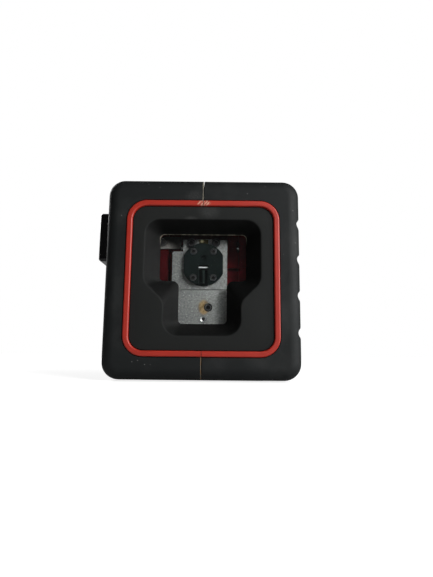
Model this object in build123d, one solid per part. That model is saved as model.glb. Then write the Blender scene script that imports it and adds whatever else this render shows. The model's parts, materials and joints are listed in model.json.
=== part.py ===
from build123d import *
import math
import os

# Cross line laser level, in millimetres. +Z is up and the front looks along -Y.
# The origin is the mouth of the tripod thread, on the plane that the tool stands on.

# Walls of the outer body, whose size follows from what it holds
front_reach = 32.0
body_corner = 8.4
body_edge = 6.0
base_proud = 0.6
jacket_wall = 2.5
shell_wall = 2.5
seam_gap = 0.7
least_round = 0.4

# Clearances, and how far a cut runs past the face that it opens
slip = 0.1
slide_gap = 0.3
running = 0.05
overlap = 1.0
far = 150.0

# Red ring, the rim of rubber around it, and the bezel inside it
rim_side = 10.5
rim_top = 11.8
rim_bottom = 11.0
ring_corner = 9.8
ring_band = 2.8
ring_proud = 0.6
ring_gap = 0.35
ring_round = 0.7
bezel_sink = 0.6
bezel_face = 2.0
bezel_skirt = 2.0
bezel_round = 0.5
flange_reach = 3.0
flange_thick = 2.0
rim_wall = 2.0

# Flared T-shaped recess: its throat at the window, with levels from the ring's middle, and its flare
recess_depth = 8.4
funnel_wall = 1.6
throat_top_half = 21.6
throat_foot_half = 11.9
throat_top_rise = 22.9
throat_shoulder_drop = 0.6
throat_bottom_drop = 22.1
throat_round = 2.0
throat_bend = 3.4
flare_side = 6.8
flare_top = 5.9
flare_bottom = 6.2
flare_shoulder = 1.7
shoulder_slant = 9.6
mouth_round = 7.5

# Window
window_margin = 3.4
window_thick = 1.5
gasket_thick = 0.5
gasket_band = 2.4
seat_thick = 1.5
rebate_wall = 1.5

# Grip grooves on the right side
groove_count = 4
groove_pitch = 18.0
groove_half = 4.0
groove_depth = 1.75
groove_shoulder = 3.0

# Case screws, put in from the left through deep wells
case_boss_radius = 3.5
case_well_radius = 2.9
case_screw_radius = 1.5
case_head_radius = 2.6
case_head_length = 2.0
case_head_seat = -20.0
case_screw_length = 34.0
case_front_gap = 3.7
case_back_gap = 7.0
case_low_rise = 5.4
case_high_drop = 7.0
socket_share = 0.5
socket_depth_share = 0.6

# Base plate and tripod bush
base_margin = 4.0
base_corner = 4.0
base_flange = 1.5
base_flange_reach = 2.0
thread_radius = 2.55
thread_length = 6.4
bush_wall = 1.95
bush_step = 2.0
bush_shoulder_z = 5.0
bush_cap = 1.6

# Pendulum pivot and swing
pivot_z = 70.0
pendulum_gap = 2.0

# Module cap on the pendulum's face
cap_radius = 11.1
cap_half = 10.1
cap_thick = 2.5
cap_head_clear = 0.1
cap_edge = 0.3
cap_screw_inset = 2.5
cap_screw_turn = 53.0
cap_screw_radius = 0.9
cap_head_radius = 1.7
cap_head_sink = 1.2
cap_head_gap = 0.3
aim_hole_radius = 1.6
aim_hole_rise = 3.2
aim_hole_depth = 1.2
lens_radius = 0.8
lens_length = 4.8
lens_drop = 1.6
lens_slot_half = 1.3
lens_sink = 0.8
channel_width = 4.8
channel_depth = 2.1
upright_lens_radius = 0.9
upright_lens_end = 1.2

# Face plate, carrier, weight and bob of the pendulum
plate_thick = 4.5
plate_left = -16.2
plate_right = 12.3
plate_rise = 2.2
plate_foot = 1.6
notch_x = -10.6
notch_drop = 4.2
plate_round = 1.0
plate_screw_rise = 0.4
plate_screw_radius = 1.25
plate_screw_head = 2.2
plate_head_length = 1.8
plate_screw_bite = 2.0
carrier_half = 9.0
carrier_depth = 18.0
carrier_drop = 22.0
column_gap = 0.6
column_screw_inset = 1.7
column_depth = 2.6
column_rise = 3.0
lug_half = 4.5
lug_depth = 4.0
lug_rise = 4.5
spine_half = 8.0
spine_depth = 15.42
balance_rib = 1.5
barrel_radius = 5.5
barrel_proud = 1.5
diode_radius = 2.8
diode_length = 1.2
weight_left = -13.0
weight_right = 12.5
weight_gap = 0.5
weight_proud = 0.5
weight_round = 2.0
calibration_x = 2.7
calibration_rise = 10.6
calibration_radius = 2.2
calibration_sink = 0.2
calibration_bite = 2.2
calibration_socket = 2.4
balance_pin_x = 0.4
balance_pin_rise = 4.5
balance_pin_radius = 1.7
balance_pin_proud = 0.4
balance_pin_length = 4.0
glue_thick = 0.2
glue_shift = 2.2
glue_half_width = 3.2
glue_half_height = 4.2
bob_gap = 1.6
bob_radius = 9.0
bob_height = 6.0
bob_screw_radius = 1.5
bob_screw_head = 2.8
bob_head_length = 2.0
bob_head_sink = 2.0
bob_screw_length = 9.0

# Gimbal
gimbal_half_x = 4.2
gimbal_half_y = 4.0
gimbal_half_z = 4.0
gimbal_gap = 1.0
roll_pin_radius = 1.5
pin_head_half = 2.4
pin_head_depth = 2.2
roll_bearing_radius = 3.0
roll_bearing_width = 2.5
pitch_pin_radius = 1.5
pitch_pin_press = 2.3
pitch_bearing_radius = 4.0
pitch_bearing_width = 3.0
pin_end_gap = 0.3

# Chassis, swing stop and damping magnet
post_gap = 2.4
post_thick = 6.0
post_front_gap = 2.5
post_cover = 3.5
cheek_side_gap = 2.1
cheek_front_gap = 2.1
cheek_thick = 1.0
cheek_rise = 1.0
brace_thick = 3.5
brace_half_y = 6.0
wall_gap = 1.7
wall_thick = 2.5
bridge_thick = 3.8
foot_thick = 1.2
foot_margin = 2.8
foot_boss_radius = 2.6
foot_boss_cover = 0.8
foot_screw_side = 3.9
foot_back_reach = 10.0
foot_screw_radius = 1.5
foot_head_radius = 2.6
foot_head_length = 1.8
foot_head_sink = 0.5
foot_screw_bite = 3.2
arm_slot_gap = 1.2
magnet_radius = 8.0
magnet_hole = 4.0
magnet_thick = 3.0
stop_side_gap = 1.4
stop_low_gap = 1.8
stop_height = 6.4
stop_thick = 1.4
stop_screw_radius = 1.0
stop_screw_head = 2.0
stop_head_length = 1.0
stop_screw_bite = 2.5
band_drop = 12.4
band_height = 1.6
band_depth = 1.0

# Lock slide on the left side
lock_travel = 4.0
brake_gap = 0.2
thumb_length = 26.1
thumb_rise = 10.7
thumb_middle_y = -4.2
thumb_width = 20.4
thumb_thick = 6.9
thumb_round = 1.4
thumb_dish = 0.8
thumb_dish_margin = 4.0
guide_proud = 0.4
guide_margin = 1.2
guide_low_margin = 1.5
guide_high_margin = 0.2
neck_width = 4.0
neck_height = 8.0
neck_grip = 3.0
carrier_plate_width = 6.0
carrier_plate_thick = 2.0
carrier_plate_rise = 2.2
arm_thick = 1.6
arm_width = 6.0
arm_lift = 0.6
arm_past_centre = 4.0
arm_tab_thick = 1.2
arm_tab_height = 13.0
pad_radius = 3.0
guide_rib = 1.2
guide_rib_gap = 5.8

# Keypad on the top
panel_corner = 4.0
panel_thick = 2.2
panel_ledge = 3.0
panel_margin_x = 3.3
panel_margin_y = 1.3
button_gap = 1.6
button_y = 1.5
button_width = 14.0
button_depth = 10.0
button_corner = 3.0
button_proud = 0.8
button_round = 0.6
button_flange = 1.2
button_flange_thick = 1.2
button_stem_radius = 2.2
button_stem_length = 4.2
button_travel = 0.5
light_gap = 2.6
light_radius = 1.2
light_proud = 0.2
led_radius = 1.5
led_height = 2.2
pipe_gap = 0.4
board_headroom = 5.0
board_thick = 1.6
board_margin = 0.5
small_boss_radius = 2.8
small_screw_radius = 1.0
small_head_radius = 1.9
small_head_length = 1.4
small_screw_length = 6.0
switch_size = 6.0
switch_height = 3.4
plunger_radius = 1.7
plunger_proud = 1.0
plunger_sunk = 2.4

# Main board on the right side
board_standoff = 8.4
component_room = 2.4
main_board_front = -14.0
main_board_back = 15.0
board_end_gap = 1.5
main_screw_inset = 3.5
chip_size = 10.0
chip_height = 1.4
component_gap = 0.5
capacitor_radius = 3.0
capacitor_height = 6.0
capacitor_y = 1.0
capacitor_pitch = 8.0
capacitor_count = 3
plug_height = 4.5
plug_length = 4.0
ribbon_y = -6.0
ribbon_width = 4.0
ribbon_thick = 0.3
ribbon_bend = 2.0
ribbon_drop = 1.1
ribbon_plug_inset = 1.3
ribbon_plug_width = 5.2
ribbon_plug_thick = 1.8
main_plug_drop = 15.0
lead_plug_y = 8.5
lead_plug_rise = 22.0
lead_plug_width = 7.0
lead_plug_length = 6.0
lead_radius = 0.7
lead_pitch = 2.6
lead_bend = 1.4
lead_rise = 3.1

# Battery bay and its door at the back
cell_radius = 7.1
cell_length = 50.5
cell_nub_radius = 2.75
cell_nub_length = 1.2
cell_count = 3
cell_gap = 1.0
contact_thick = 0.5
contact_half = 4.0
tray_gap = 1.2
tray_wall = 1.5
tray_flange = 4.5
tray_flange_thick = 1.5
tray_flange_gap = 0.8
door_overhang = 2.4
door_thick = 2.4
door_seal_thick = 0.35
door_seal_width = 1.2
door_scoop_width = 16.0
door_scoop_height = 5.0
door_scoop_depth = 1.2
hinge_sink = 3.8
hinge_rise = 8.6
hinge_pin_radius = 1.0
hinge_pin_press = 3.0
knuckle_radius = 2.2
knuckle_inner = 6.0
knuckle_gap = 0.6
hinge_boss_length = 4.5
hinge_boss_reach = 2.5
hinge_boss_half = 3.2

# Depths from the front to the pendulum's back
front_y = -front_reach
shell_front = front_y + jacket_wall
cavity_front = shell_front + shell_wall
ring_front = front_y - ring_proud
bezel_front = front_y + bezel_sink
flange_back = cavity_front + flange_thick
rim_back = flange_back + rim_wall
throat_y = bezel_front + recess_depth
gasket_back = throat_y + gasket_thick
window_back = gasket_back + window_thick
cap_front = window_back + pendulum_gap
plate_front = cap_front + cap_thick
plate_back = plate_front + plate_thick
pivot_y = plate_back + gimbal_half_y + gimbal_gap
cap_screw_end = plate_back + gimbal_gap - slip
carrier_back = plate_back + carrier_depth
spine_back = plate_back + spine_depth
weight_front = plate_front - weight_proud
post_front = plate_front + post_front_gap
cheek_front = plate_back + cheek_front_gap
cheek_back = cheek_front + cheek_thick

# Depths from there to the battery door
wall_front = carrier_back + barrel_proud + wall_gap
wall_back = wall_front + wall_thick
tray_front = wall_back + tray_gap
cell_y = tray_front + tray_wall + slide_gap + cell_radius
tray_back = cell_y + cell_radius + slide_gap
door_inner = tray_back + running + door_seal_thick
back_y = door_inner + door_thick
cavity_back = back_y - jacket_wall - shell_wall
hinge_y = back_y - hinge_sink

# Widths from the middle to the sides
post_inner = post_gap - plate_left
post_outer = post_inner + post_thick
cheek_inner = carrier_half + balance_rib + cheek_side_gap
main_board_x = post_outer + component_room + capacitor_height
cavity_side = main_board_x + board_thick + board_standoff
shell_side = cavity_side + shell_wall
body_side = shell_side + jacket_wall
thumb_inner = body_side + guide_proud + slide_gap
thumb_outer = thumb_inner + thumb_thick
cell_pitch = 2 * cell_radius + cell_gap
tray_half = (cell_count - 1) * cell_pitch / 2 + cell_radius + slide_gap + tray_wall
door_half = tray_half + door_overhang
column_inner = gimbal_half_x + column_gap
plate_screw_x = column_inner + column_screw_inset
stop_tip = notch_x - stop_side_gap
stop_screw_x = -(post_inner + post_outer) / 2
button_x = button_width / 2 + button_flange + button_gap / 2
key_window_half_x = button_x + button_width / 2 + button_flange + panel_margin_x
button_boss_x = key_window_half_x + small_boss_radius
ribbon_plug_x = button_boss_x - ribbon_plug_inset

# Levels from the base to the pendulum
body_bottom = base_proud
cavity_floor = body_bottom + jacket_wall + shell_wall
base_flange_top = cavity_floor + base_flange
foot_top = base_flange_top + foot_thick
foot_screw_end = foot_top + foot_screw_bite
bush_top = thread_length + bush_cap
arm_low = bush_top + arm_lift
arm_high = arm_low + arm_thick
bridge_low = arm_high + lock_travel + slide_gap + slip
bridge_high = bridge_low + bridge_thick
bob_low = bridge_high + bob_gap
bob_head_top = bob_low + bob_head_sink + bob_head_length
bob_sphere = pivot_z - bob_low
pad_top = bob_low - brake_gap - lock_travel
weight_low = bob_low + bob_height
calibration_z = weight_low + calibration_rise
balance_pin_z = weight_low + balance_pin_rise
cap_reach = cap_radius + plate_screw_head + cap_head_clear
cap_z = pivot_z + plate_screw_rise - math.sqrt(cap_reach ** 2 - plate_screw_x ** 2)
plate_bottom = cap_z - cap_radius - plate_foot
cheek_low = plate_bottom + cheek_rise
plate_top = pivot_z + plate_rise
weight_high = plate_bottom - weight_gap
notch_z = pivot_z - notch_drop
carrier_low = pivot_z - carrier_drop
carrier_high = pivot_z - gimbal_half_z - gimbal_gap
stop_low = notch_z + stop_low_gap
stop_high = stop_low + stop_height
stop_screw_z = (stop_low + stop_high) / 2
band_z = pivot_z - band_drop

# Levels from the pivot to the top
post_top = pivot_z + pitch_bearing_radius + post_cover
brace_top = post_top + brace_thick
button_board_z = brace_top + board_headroom
switch_low = button_board_z + board_thick
switch_top = switch_low + switch_height
plunger_top = switch_top + plunger_proud
button_flange_low = plunger_top + button_stem_length
button_flange_top = button_flange_low + button_flange_thick
shell_top = button_flange_top + slip
cavity_roof = shell_top - shell_wall
body_top = shell_top + jacket_wall
panel_top = shell_top + panel_thick
button_top = body_top + button_proud
body_middle = (body_bottom + body_top) / 2

# Ring and recess on the front
ring_low = body_bottom + rim_bottom
ring_high = body_top - rim_top
ring_middle = (ring_low + ring_high) / 2
ring_width = 2 * (body_side - rim_side)
ring_height = ring_high - ring_low
throat_top = ring_middle + throat_top_rise
throat_shoulder = ring_middle - throat_shoulder_drop
throat_bottom = ring_middle - throat_bottom_drop
mouth_shoulder = throat_shoulder - flare_shoulder

# Screws, base and boards
case_front_y = rim_back + case_front_gap
case_back_y = cavity_back - case_back_gap
case_low_z = cavity_floor + case_low_rise
case_high_z = cavity_roof - case_high_drop
foot_screw_x = post_outer + foot_screw_side
foot_screw_front = case_front_y + case_boss_radius + slide_gap + foot_boss_radius
foot_screw_back = pivot_y + foot_back_reach
base_half_x = foot_screw_x + base_margin
base_half_y = base_margin - foot_screw_front
bush_radius = thread_radius + bush_wall
bush_shoulder_radius = bush_radius + bush_step
light_y = button_y - button_depth / 2 - button_flange - light_gap - light_radius
key_window_half_y = panel_margin_y + light_radius - light_y
panel_width = 2 * (key_window_half_x + panel_ledge)
panel_depth = 2 * (key_window_half_y + panel_ledge)
button_board_half_x = button_boss_x + small_boss_radius + board_margin
button_board_half_y = led_radius + board_margin - light_y
main_board_low = case_low_z + case_boss_radius + board_end_gap
main_board_high = case_high_z - case_boss_radius - board_end_gap
chip_z = (main_board_low + main_board_high) / 2
capacitor_low_z = chip_z + chip_size / 2 + component_gap + capacitor_radius
main_plug_z = main_board_high - main_plug_drop
lead_plug_z = main_board_low + lead_plug_rise

# Lock slide
thumb_front = thumb_middle_y - thumb_width / 2
thumb_back = thumb_middle_y + thumb_width / 2
thumb_low = body_middle + thumb_rise
thumb_high = thumb_low + thumb_length
neck_z = (thumb_low + thumb_high) / 2
carrier_plate_top = neck_z + neck_height / 2 + carrier_plate_rise
guide_low = thumb_low - guide_low_margin
guide_high = thumb_high + lock_travel + guide_high_margin
guide_rib_low = arm_low + arm_tab_height
guide_rib_high = neck_z - neck_height / 2 - guide_rib_gap

# Battery bay levels
hinge_z = cavity_floor + hinge_rise
door_low = hinge_z - hinge_sink
tray_low = hinge_z + knuckle_radius + knuckle_gap
tray_flange_low = hinge_z + hinge_boss_half + tray_flange_gap
bay_low = tray_low + tray_wall
cell_low = bay_low + contact_thick
cell_high = cell_low + cell_length
bay_high = cell_high + contact_thick
tray_high = bay_high + tray_wall
door_top = tray_high + door_overhang


# Drawing helpers

def block(x, y, z):
    """Box between the low and the high end of each axis."""
    spans = (x, y, z)
    middle = [(low + high) / 2 for low, high in spans]
    lengths = [high - low for low, high in spans]
    return Pos(*middle) * Box(*lengths)


def rod_x(radius, x, y, z):
    """Round bar along X, with x as its two ends."""
    return Pos((x[0] + x[1]) / 2, y, z) * Rot(0, 90, 0) * Cylinder(radius, x[1] - x[0])


def rod_y(radius, x, y, z):
    """Round bar along Y, with y as its two ends."""
    return Pos(x, (y[0] + y[1]) / 2, z) * Rot(90, 0, 0) * Cylinder(radius, y[1] - y[0])


def rod_z(radius, x, y, z):
    """Round bar along Z, with z as its two ends."""
    return Pos(x, y, (z[0] + z[1]) / 2) * Cylinder(radius, z[1] - z[0])


def upright(y):
    """Plane that faces the front at a depth, with its own axes along X and Z."""
    return Plane(origin=(0, y, 0), x_dir=(1, 0, 0), z_dir=(0, -1, 0))


def slab(sketch, front, back):
    """Sketch in X and Z, made solid from its front to its back."""
    return extrude(upright(back) * sketch, amount=back - front)


def lying(sketch, low, high):
    """Sketch in X and Y, made solid from its low to its high level."""
    return extrude(Plane.XY.offset(low) * sketch, amount=high - low)


def span(side, inner, outer):
    """Stretch along X on the left (side -1) or the right (side 1)."""
    return sorted((side * inner, side * outer))


def together(shapes):
    """Separate solids held as one piece."""
    whole = Part()
    for shape in shapes:
        whole += shape
    return whole


def half(shape, side, gap):
    """Left or right half of a shape, held back from the seam by half the gap."""
    return shape & block(span(side, gap / 2, far), (-far, far), (-far, far))


def rounded_at(outline, corners, radius):
    """Outline with the corners nearest to the given points rounded."""
    def nearest(corner):
        return min(outline.vertices(), key=lambda v: math.dist((v.X, v.Y), corner))
    return fillet([nearest(corner) for corner in corners], radius)


def screw(rod, place, seat, head_radius, head_length, radius, length):
    """Screw along a bar maker's axis, where the place holds None: its head ends at the seat,
    its shank goes on from there, and the head has a round socket."""
    def bar(size, low, high):
        return rod(size, *[(low, high) if value is None else value for value in place])

    outer = seat - head_length
    socket = bar(head_radius * socket_share, outer, outer + head_length * socket_depth_share)
    return bar(head_radius, outer, seat) + bar(radius, seat, seat + length) - socket


# Outlines

def body_form(inset):
    """Rounded body, drawn in by a distance on every face."""
    corner = max(body_corner - inset, least_round)
    edge = min(body_edge, body_corner - least_round)
    outline = RectangleRounded(2 * (body_side - inset), body_top - body_bottom - 2 * inset, corner)
    form = slab(Pos(0, body_middle) * outline, front_y + inset, back_y - inset)
    ends = form.faces().sort_by(Axis.Y)
    return fillet(ends[0].edges() + ends[-1].edges(), max(edge - inset, least_round))


def ring_outline(grow):
    """Outer edge of the red ring, grown by a distance."""
    width = ring_width + 2 * grow
    height = ring_height + 2 * grow
    return Pos(0, ring_middle) * RectangleRounded(width, height, ring_corner + grow)


def bezel_outline(grow):
    """Inner edge of the red ring, grown by a distance."""
    width = ring_width - 2 * ring_band + 2 * grow
    height = ring_height - 2 * ring_band + 2 * grow
    return Pos(0, ring_middle) * RectangleRounded(width, height, ring_corner - ring_band + grow)


def window_outline(grow):
    """Rectangle of the window pane, grown by a distance."""
    reach = window_margin + grow
    height = throat_top - throat_bottom + 2 * reach
    return Pos(0, (throat_top + throat_bottom) / 2) * Rectangle(2 * (throat_top_half + reach), height)


def tee(top_half, foot_half, top, shoulder, foot_start, bottom, corner, bend):
    """T-shaped outline whose outer corners have one round and whose inner bends another."""
    right = [(top_half, top), (top_half, shoulder), (foot_half, foot_start), (foot_half, bottom)]
    left = [(-x, z) for x, z in reversed(right)]
    outline = make_face(Polyline(*right, *left, close=True))
    bends = [(foot_half, foot_start), (-foot_half, foot_start)]
    outline = rounded_at(outline, bends, bend)
    corners = [point for point in right + left if point not in bends]
    return rounded_at(outline, corners, corner)


def mouth_outline():
    """T at the bezel's face, with slanted shoulders, wider than the throat by the flare."""
    return tee(throat_top_half + flare_side, throat_foot_half + flare_side, throat_top + flare_top,
               mouth_shoulder, mouth_shoulder - shoulder_slant, throat_bottom - flare_bottom,
               mouth_round, mouth_round)


def throat_outline():
    """Smaller T at the window, with level shoulders."""
    return tee(throat_top_half, throat_foot_half, throat_top, throat_shoulder, throat_shoulder,
               throat_bottom, throat_round, throat_bend)


def flare(wall):
    """Space of the recess from mouth to throat, grown by a wall."""
    ends = [(bezel_front, mouth_outline()), (throat_y, throat_outline())]
    if wall:
        ends = [(y, offset(outline, amount=wall)) for y, outline in ends]
    return loft([upright(y) * outline for y, outline in ends], ruled=True)


def base_outline(grow):
    """Foot of the base plate, grown by a distance."""
    return RectangleRounded(2 * (base_half_x + grow), 2 * (base_half_y + grow), base_corner + grow)


def panel_outline(grow):
    """Keypad panel, grown by a distance."""
    return RectangleRounded(panel_width + 2 * grow, panel_depth + 2 * grow, panel_corner + grow)


def door_hole():
    """Opening for the battery door through the back wall."""
    reach = door_half + slide_gap
    return block((-reach, reach), (cavity_back - overlap, far), (door_low - slide_gap, door_top + slide_gap))


def guide_block(grow):
    """Guide strip under the lock thumb, grown by a distance along the side."""
    x = (-body_side - guide_proud, -shell_side)
    y = (thumb_front - guide_margin - grow, thumb_back + guide_margin + grow)
    return block(x, y, (guide_low - grow, guide_high + grow))


def lock_slot():
    """Slot in the left side that the neck of the lock slide runs in."""
    y = (pivot_y - neck_width / 2 - slide_gap, pivot_y + neck_width / 2 + slide_gap)
    z = (neck_z - neck_height / 2 - slide_gap, neck_z + neck_height / 2 + lock_travel + slide_gap)
    return block((-far, -cavity_side + overlap), y, z)


# Places of repeated pieces

case_spots = [(y, z) for y in (case_front_y, case_back_y) for z in (case_low_z, case_high_z)]
foot_spots = [(side * foot_screw_x, y) for side in (-1, 1) for y in (foot_screw_front, foot_screw_back)]
main_screw_spots = [(y, z)
                    for y in (main_board_front + main_screw_inset, main_board_back - main_screw_inset)
                    for z in (main_board_low + main_screw_inset, main_board_high - main_screw_inset)]
cap_screw_x = (cap_radius - cap_screw_inset) * math.cos(math.radians(cap_screw_turn))
cap_screw_z = (cap_radius - cap_screw_inset) * math.sin(math.radians(cap_screw_turn))
cap_screw_spots = [(x, cap_z + z) for x in (-cap_screw_x, cap_screw_x) for z in (-cap_screw_z, cap_screw_z)]
cell_spots = [(index - (cell_count - 1) / 2) * cell_pitch for index in range(cell_count)]
groove_heights = [body_middle + (index - (groove_count - 1) / 2) * groove_pitch
                  for index in range(groove_count)]


# Housing

def grip_groove(z):
    """Shallow rounded groove across the right side: a hollow arc between two shoulder arcs."""
    turn = 2 * math.atan(groove_depth / groove_half)
    hollow = groove_half / math.sin(turn) - groove_shoulder
    centre = body_side - groove_shoulder

    def shoulder_point(angle, side):
        drop = groove_half - groove_shoulder * math.sin(angle)
        return (centre + groove_shoulder * math.cos(angle), z + side * drop)

    low = [shoulder_point(share * turn, -1) for share in (0, 0.5, 1)]
    high = [shoulder_point(share * turn, 1) for share in (1, 0.5, 0)]
    outside = [(body_side + hollow, high[2][1]), (body_side + hollow, low[0][1])]
    edges = [ThreePointArc(*low)]
    edges += [ThreePointArc(low[2], (body_side - groove_depth, z), high[0])]
    edges += [ThreePointArc(*high)]
    edges += [Polyline(high[2], *outside, low[0])]
    return slab(make_face(edges), front_y - overlap, back_y + overlap)


def jacket_form():
    """Rubber skin over the whole body, with its openings."""
    jacket = body_form(0) - body_form(jacket_wall)
    jacket -= slab(ring_outline(ring_gap), front_y - overlap, cavity_front)
    jacket -= lying(panel_outline(slip), shell_top - overlap, body_top + overlap)
    jacket -= lying(base_outline(slip), -overlap, cavity_floor)
    jacket -= door_hole()
    jacket -= guide_block(slip)
    for z in groove_heights:
        jacket -= grip_groove(z)
    for y, z in case_spots:
        jacket -= rod_x(case_well_radius, (-far, -cavity_side), y, z)
    return jacket


def shell_form():
    """Hard half shells as one form: walls, bezel groove, bosses and openings."""
    shell = body_form(jacket_wall) - body_form(jacket_wall + shell_wall)
    rim = slab(bezel_outline(flange_reach + slip + rim_wall), shell_front + shell_wall / 2, rim_back)
    shell += rim & body_form(jacket_wall)
    shell += shell_bosses()
    shell -= slab(bezel_outline(0), front_y, rim_back + overlap)
    shell -= slab(bezel_outline(flange_reach + slip), cavity_front, flange_back)
    shell -= block((-key_window_half_x, key_window_half_x), (-key_window_half_y, key_window_half_y),
                   (cavity_roof - overlap, body_top))
    shell -= lying(base_outline(slip), 0, cavity_floor + running)
    shell -= door_hole()
    shell -= lock_slot()
    return shell - shell_holes()


def shell_bosses():
    """Screw bosses, slide ribs and hinge bosses inside the shells."""
    wall_x = (cavity_side, cavity_side + shell_wall / 2)
    shapes = [rod_x(case_boss_radius, (-wall_x[1], wall_x[1]), y, z) for y, z in case_spots]
    board_back = main_board_x + board_thick
    shapes += [rod_x(small_boss_radius, (board_back, wall_x[1]), y, z) for y, z in main_screw_spots]
    for side in (-1, 1):
        roof = (switch_low, cavity_roof + shell_wall / 2)
        shapes.append(rod_z(small_boss_radius, side * button_boss_x, 0, roof))
        y = (cavity_back - hinge_boss_reach, cavity_back + shell_wall / 2)
        z = (hinge_z - hinge_boss_half, hinge_z + hinge_boss_half)
        inner = door_half + slide_gap
        shapes.append(block(span(side, inner, inner + hinge_boss_length), y, z))
        rib_inner = carrier_plate_width / 2 + slide_gap
        y = sorted((pivot_y + side * rib_inner, pivot_y + side * (rib_inner + guide_rib)))
        x = (-wall_x[1], -cavity_side + slide_gap + carrier_plate_thick)
        shapes.append(block(x, y, (guide_rib_low, guide_rib_high)))
    return together(shapes)


def shell_holes():
    """Screw wells, screw holes and hinge pin holes in the shells."""
    shapes = []
    for y, z in case_spots:
        shapes.append(rod_x(case_well_radius, (-far, case_head_seat), y, z))
        shapes.append(rod_x(case_screw_radius, (case_head_seat, case_head_seat + case_screw_length), y, z))
    board_back = main_board_x + board_thick
    for y, z in main_screw_spots:
        shapes.append(rod_x(small_screw_radius, (board_back, main_board_x + small_screw_length), y, z))
    for side in (-1, 1):
        hole = (switch_low, button_board_z + small_screw_length)
        shapes.append(rod_z(small_screw_radius, side * button_boss_x, 0, hole))
    shapes.append(rod_x(hinge_pin_radius, hinge_span(), hinge_y, hinge_z))
    return together(shapes)


def hinge_span():
    """Ends of the battery door's hinge pin."""
    reach = door_half + slide_gap + hinge_pin_press
    return (-reach, reach)


def case_screws():
    """Four long screws that pull the half shells together."""
    return together([screw(rod_x, (None, y, z), case_head_seat, case_head_radius, case_head_length,
                           case_screw_radius, case_screw_length)
                     for y, z in case_spots])


def ring_form():
    """Raised red ring that stands on the shells' front."""
    ring = slab(ring_outline(0) - bezel_outline(0), ring_front, shell_front)
    return fillet(ring.faces().sort_by(Axis.Y)[0].edges(), ring_round)


def front_bezel():
    """Dark bezel: face, skirt, captured flange, flared funnel and window seat."""
    outline = bezel_outline(-slip)
    inside = bezel_outline(-slip - bezel_skirt)
    face = slab(outline, bezel_front, bezel_front + bezel_face)
    face = fillet(face.faces().sort_by(Axis.Y)[0].edges(), bezel_round)
    bezel = face + slab(outline - inside, bezel_front + bezel_face, flange_back)
    bezel += slab(bezel_outline(flange_reach) - inside, cavity_front, flange_back)
    bezel += flare(funnel_wall)
    bezel += slab(window_outline(rebate_wall), throat_y - seat_thick, window_back)
    bezel -= flare(0)
    return bezel - slab(window_outline(slip), throat_y, window_back + overlap)


def window_gasket():
    """Thin frame that seals the window to the bezel."""
    return slab(window_outline(0) - window_outline(-gasket_band), throat_y, gasket_back)


def front_window():
    """Clear pane."""
    return slab(window_outline(0), gasket_back, window_back)


# Base

def base_plate():
    """Base that the tool stands on, captured by its flange over the shell floor."""
    plate = lying(base_outline(0), 0, cavity_floor)
    plate += lying(base_outline(base_flange_reach), cavity_floor, base_flange_top)
    plate -= rod_z(bush_radius, 0, 0, (-overlap, bush_shoulder_z))
    plate -= rod_z(bush_shoulder_radius, 0, 0, (bush_shoulder_z, far))
    head_top = foot_head_sink + foot_head_length
    for x, y in foot_spots:
        plate -= rod_z(foot_head_radius + slip, x, y, (-overlap, head_top))
        plate -= rod_z(foot_screw_radius, x, y, (head_top, far))
    return plate


def tripod_bush():
    """Brass bush for a quarter-inch camera screw, bored to the thread's minor diameter."""
    bush = rod_z(bush_radius, 0, 0, (0, bush_shoulder_z))
    bush += rod_z(bush_shoulder_radius, 0, 0, (bush_shoulder_z, bush_top))
    return bush - rod_z(thread_radius, 0, 0, (0, thread_length))


def chassis_screws():
    """Four screws from below that hold the chassis on the base plate, and the swing stop's screw."""
    seat = foot_head_sink + foot_head_length
    shapes = [screw(rod_z, (x, y, None), seat, foot_head_radius, foot_head_length,
                    foot_screw_radius, foot_screw_end - seat)
              for x, y in foot_spots]
    shapes.append(screw(rod_y, (stop_screw_x, None, stop_screw_z), post_front - stop_thick, stop_screw_head,
                        stop_head_length, stop_screw_radius, stop_thick + stop_screw_bite))
    return together(shapes)


# Chassis

def chassis():
    """Dark red frame: two posts with cheeks behind the face plate, back wall, top brace,
    magnet bridge and feet."""
    frame = block((-post_inner, post_inner), (post_front, wall_back), (bridge_low, bridge_high))
    frame += block((-post_outer, post_outer), (wall_front, wall_back), (bridge_low, post_top))
    brace_y = (pivot_y - brace_half_y, wall_back)
    frame += block((-post_outer, post_outer), brace_y, (post_top, brace_top))
    for side in (-1, 1):
        post_x = span(side, post_inner, post_outer)
        frame += block(post_x, (post_front, wall_back), (base_flange_top, post_top))
        frame += block(span(side, cheek_inner, post_outer), (cheek_front, cheek_back), (cheek_low, post_top))
        foot_x = span(side, post_inner, foot_screw_x + foot_margin)
        foot_y = (foot_screw_front - foot_margin, foot_screw_back + foot_margin)
        frame += block(foot_x, foot_y, (base_flange_top, foot_top))
    for x, y in foot_spots:
        frame += rod_z(foot_boss_radius, x, y, (base_flange_top, foot_screw_end + foot_boss_cover))
    return frame - chassis_cuts()


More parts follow.
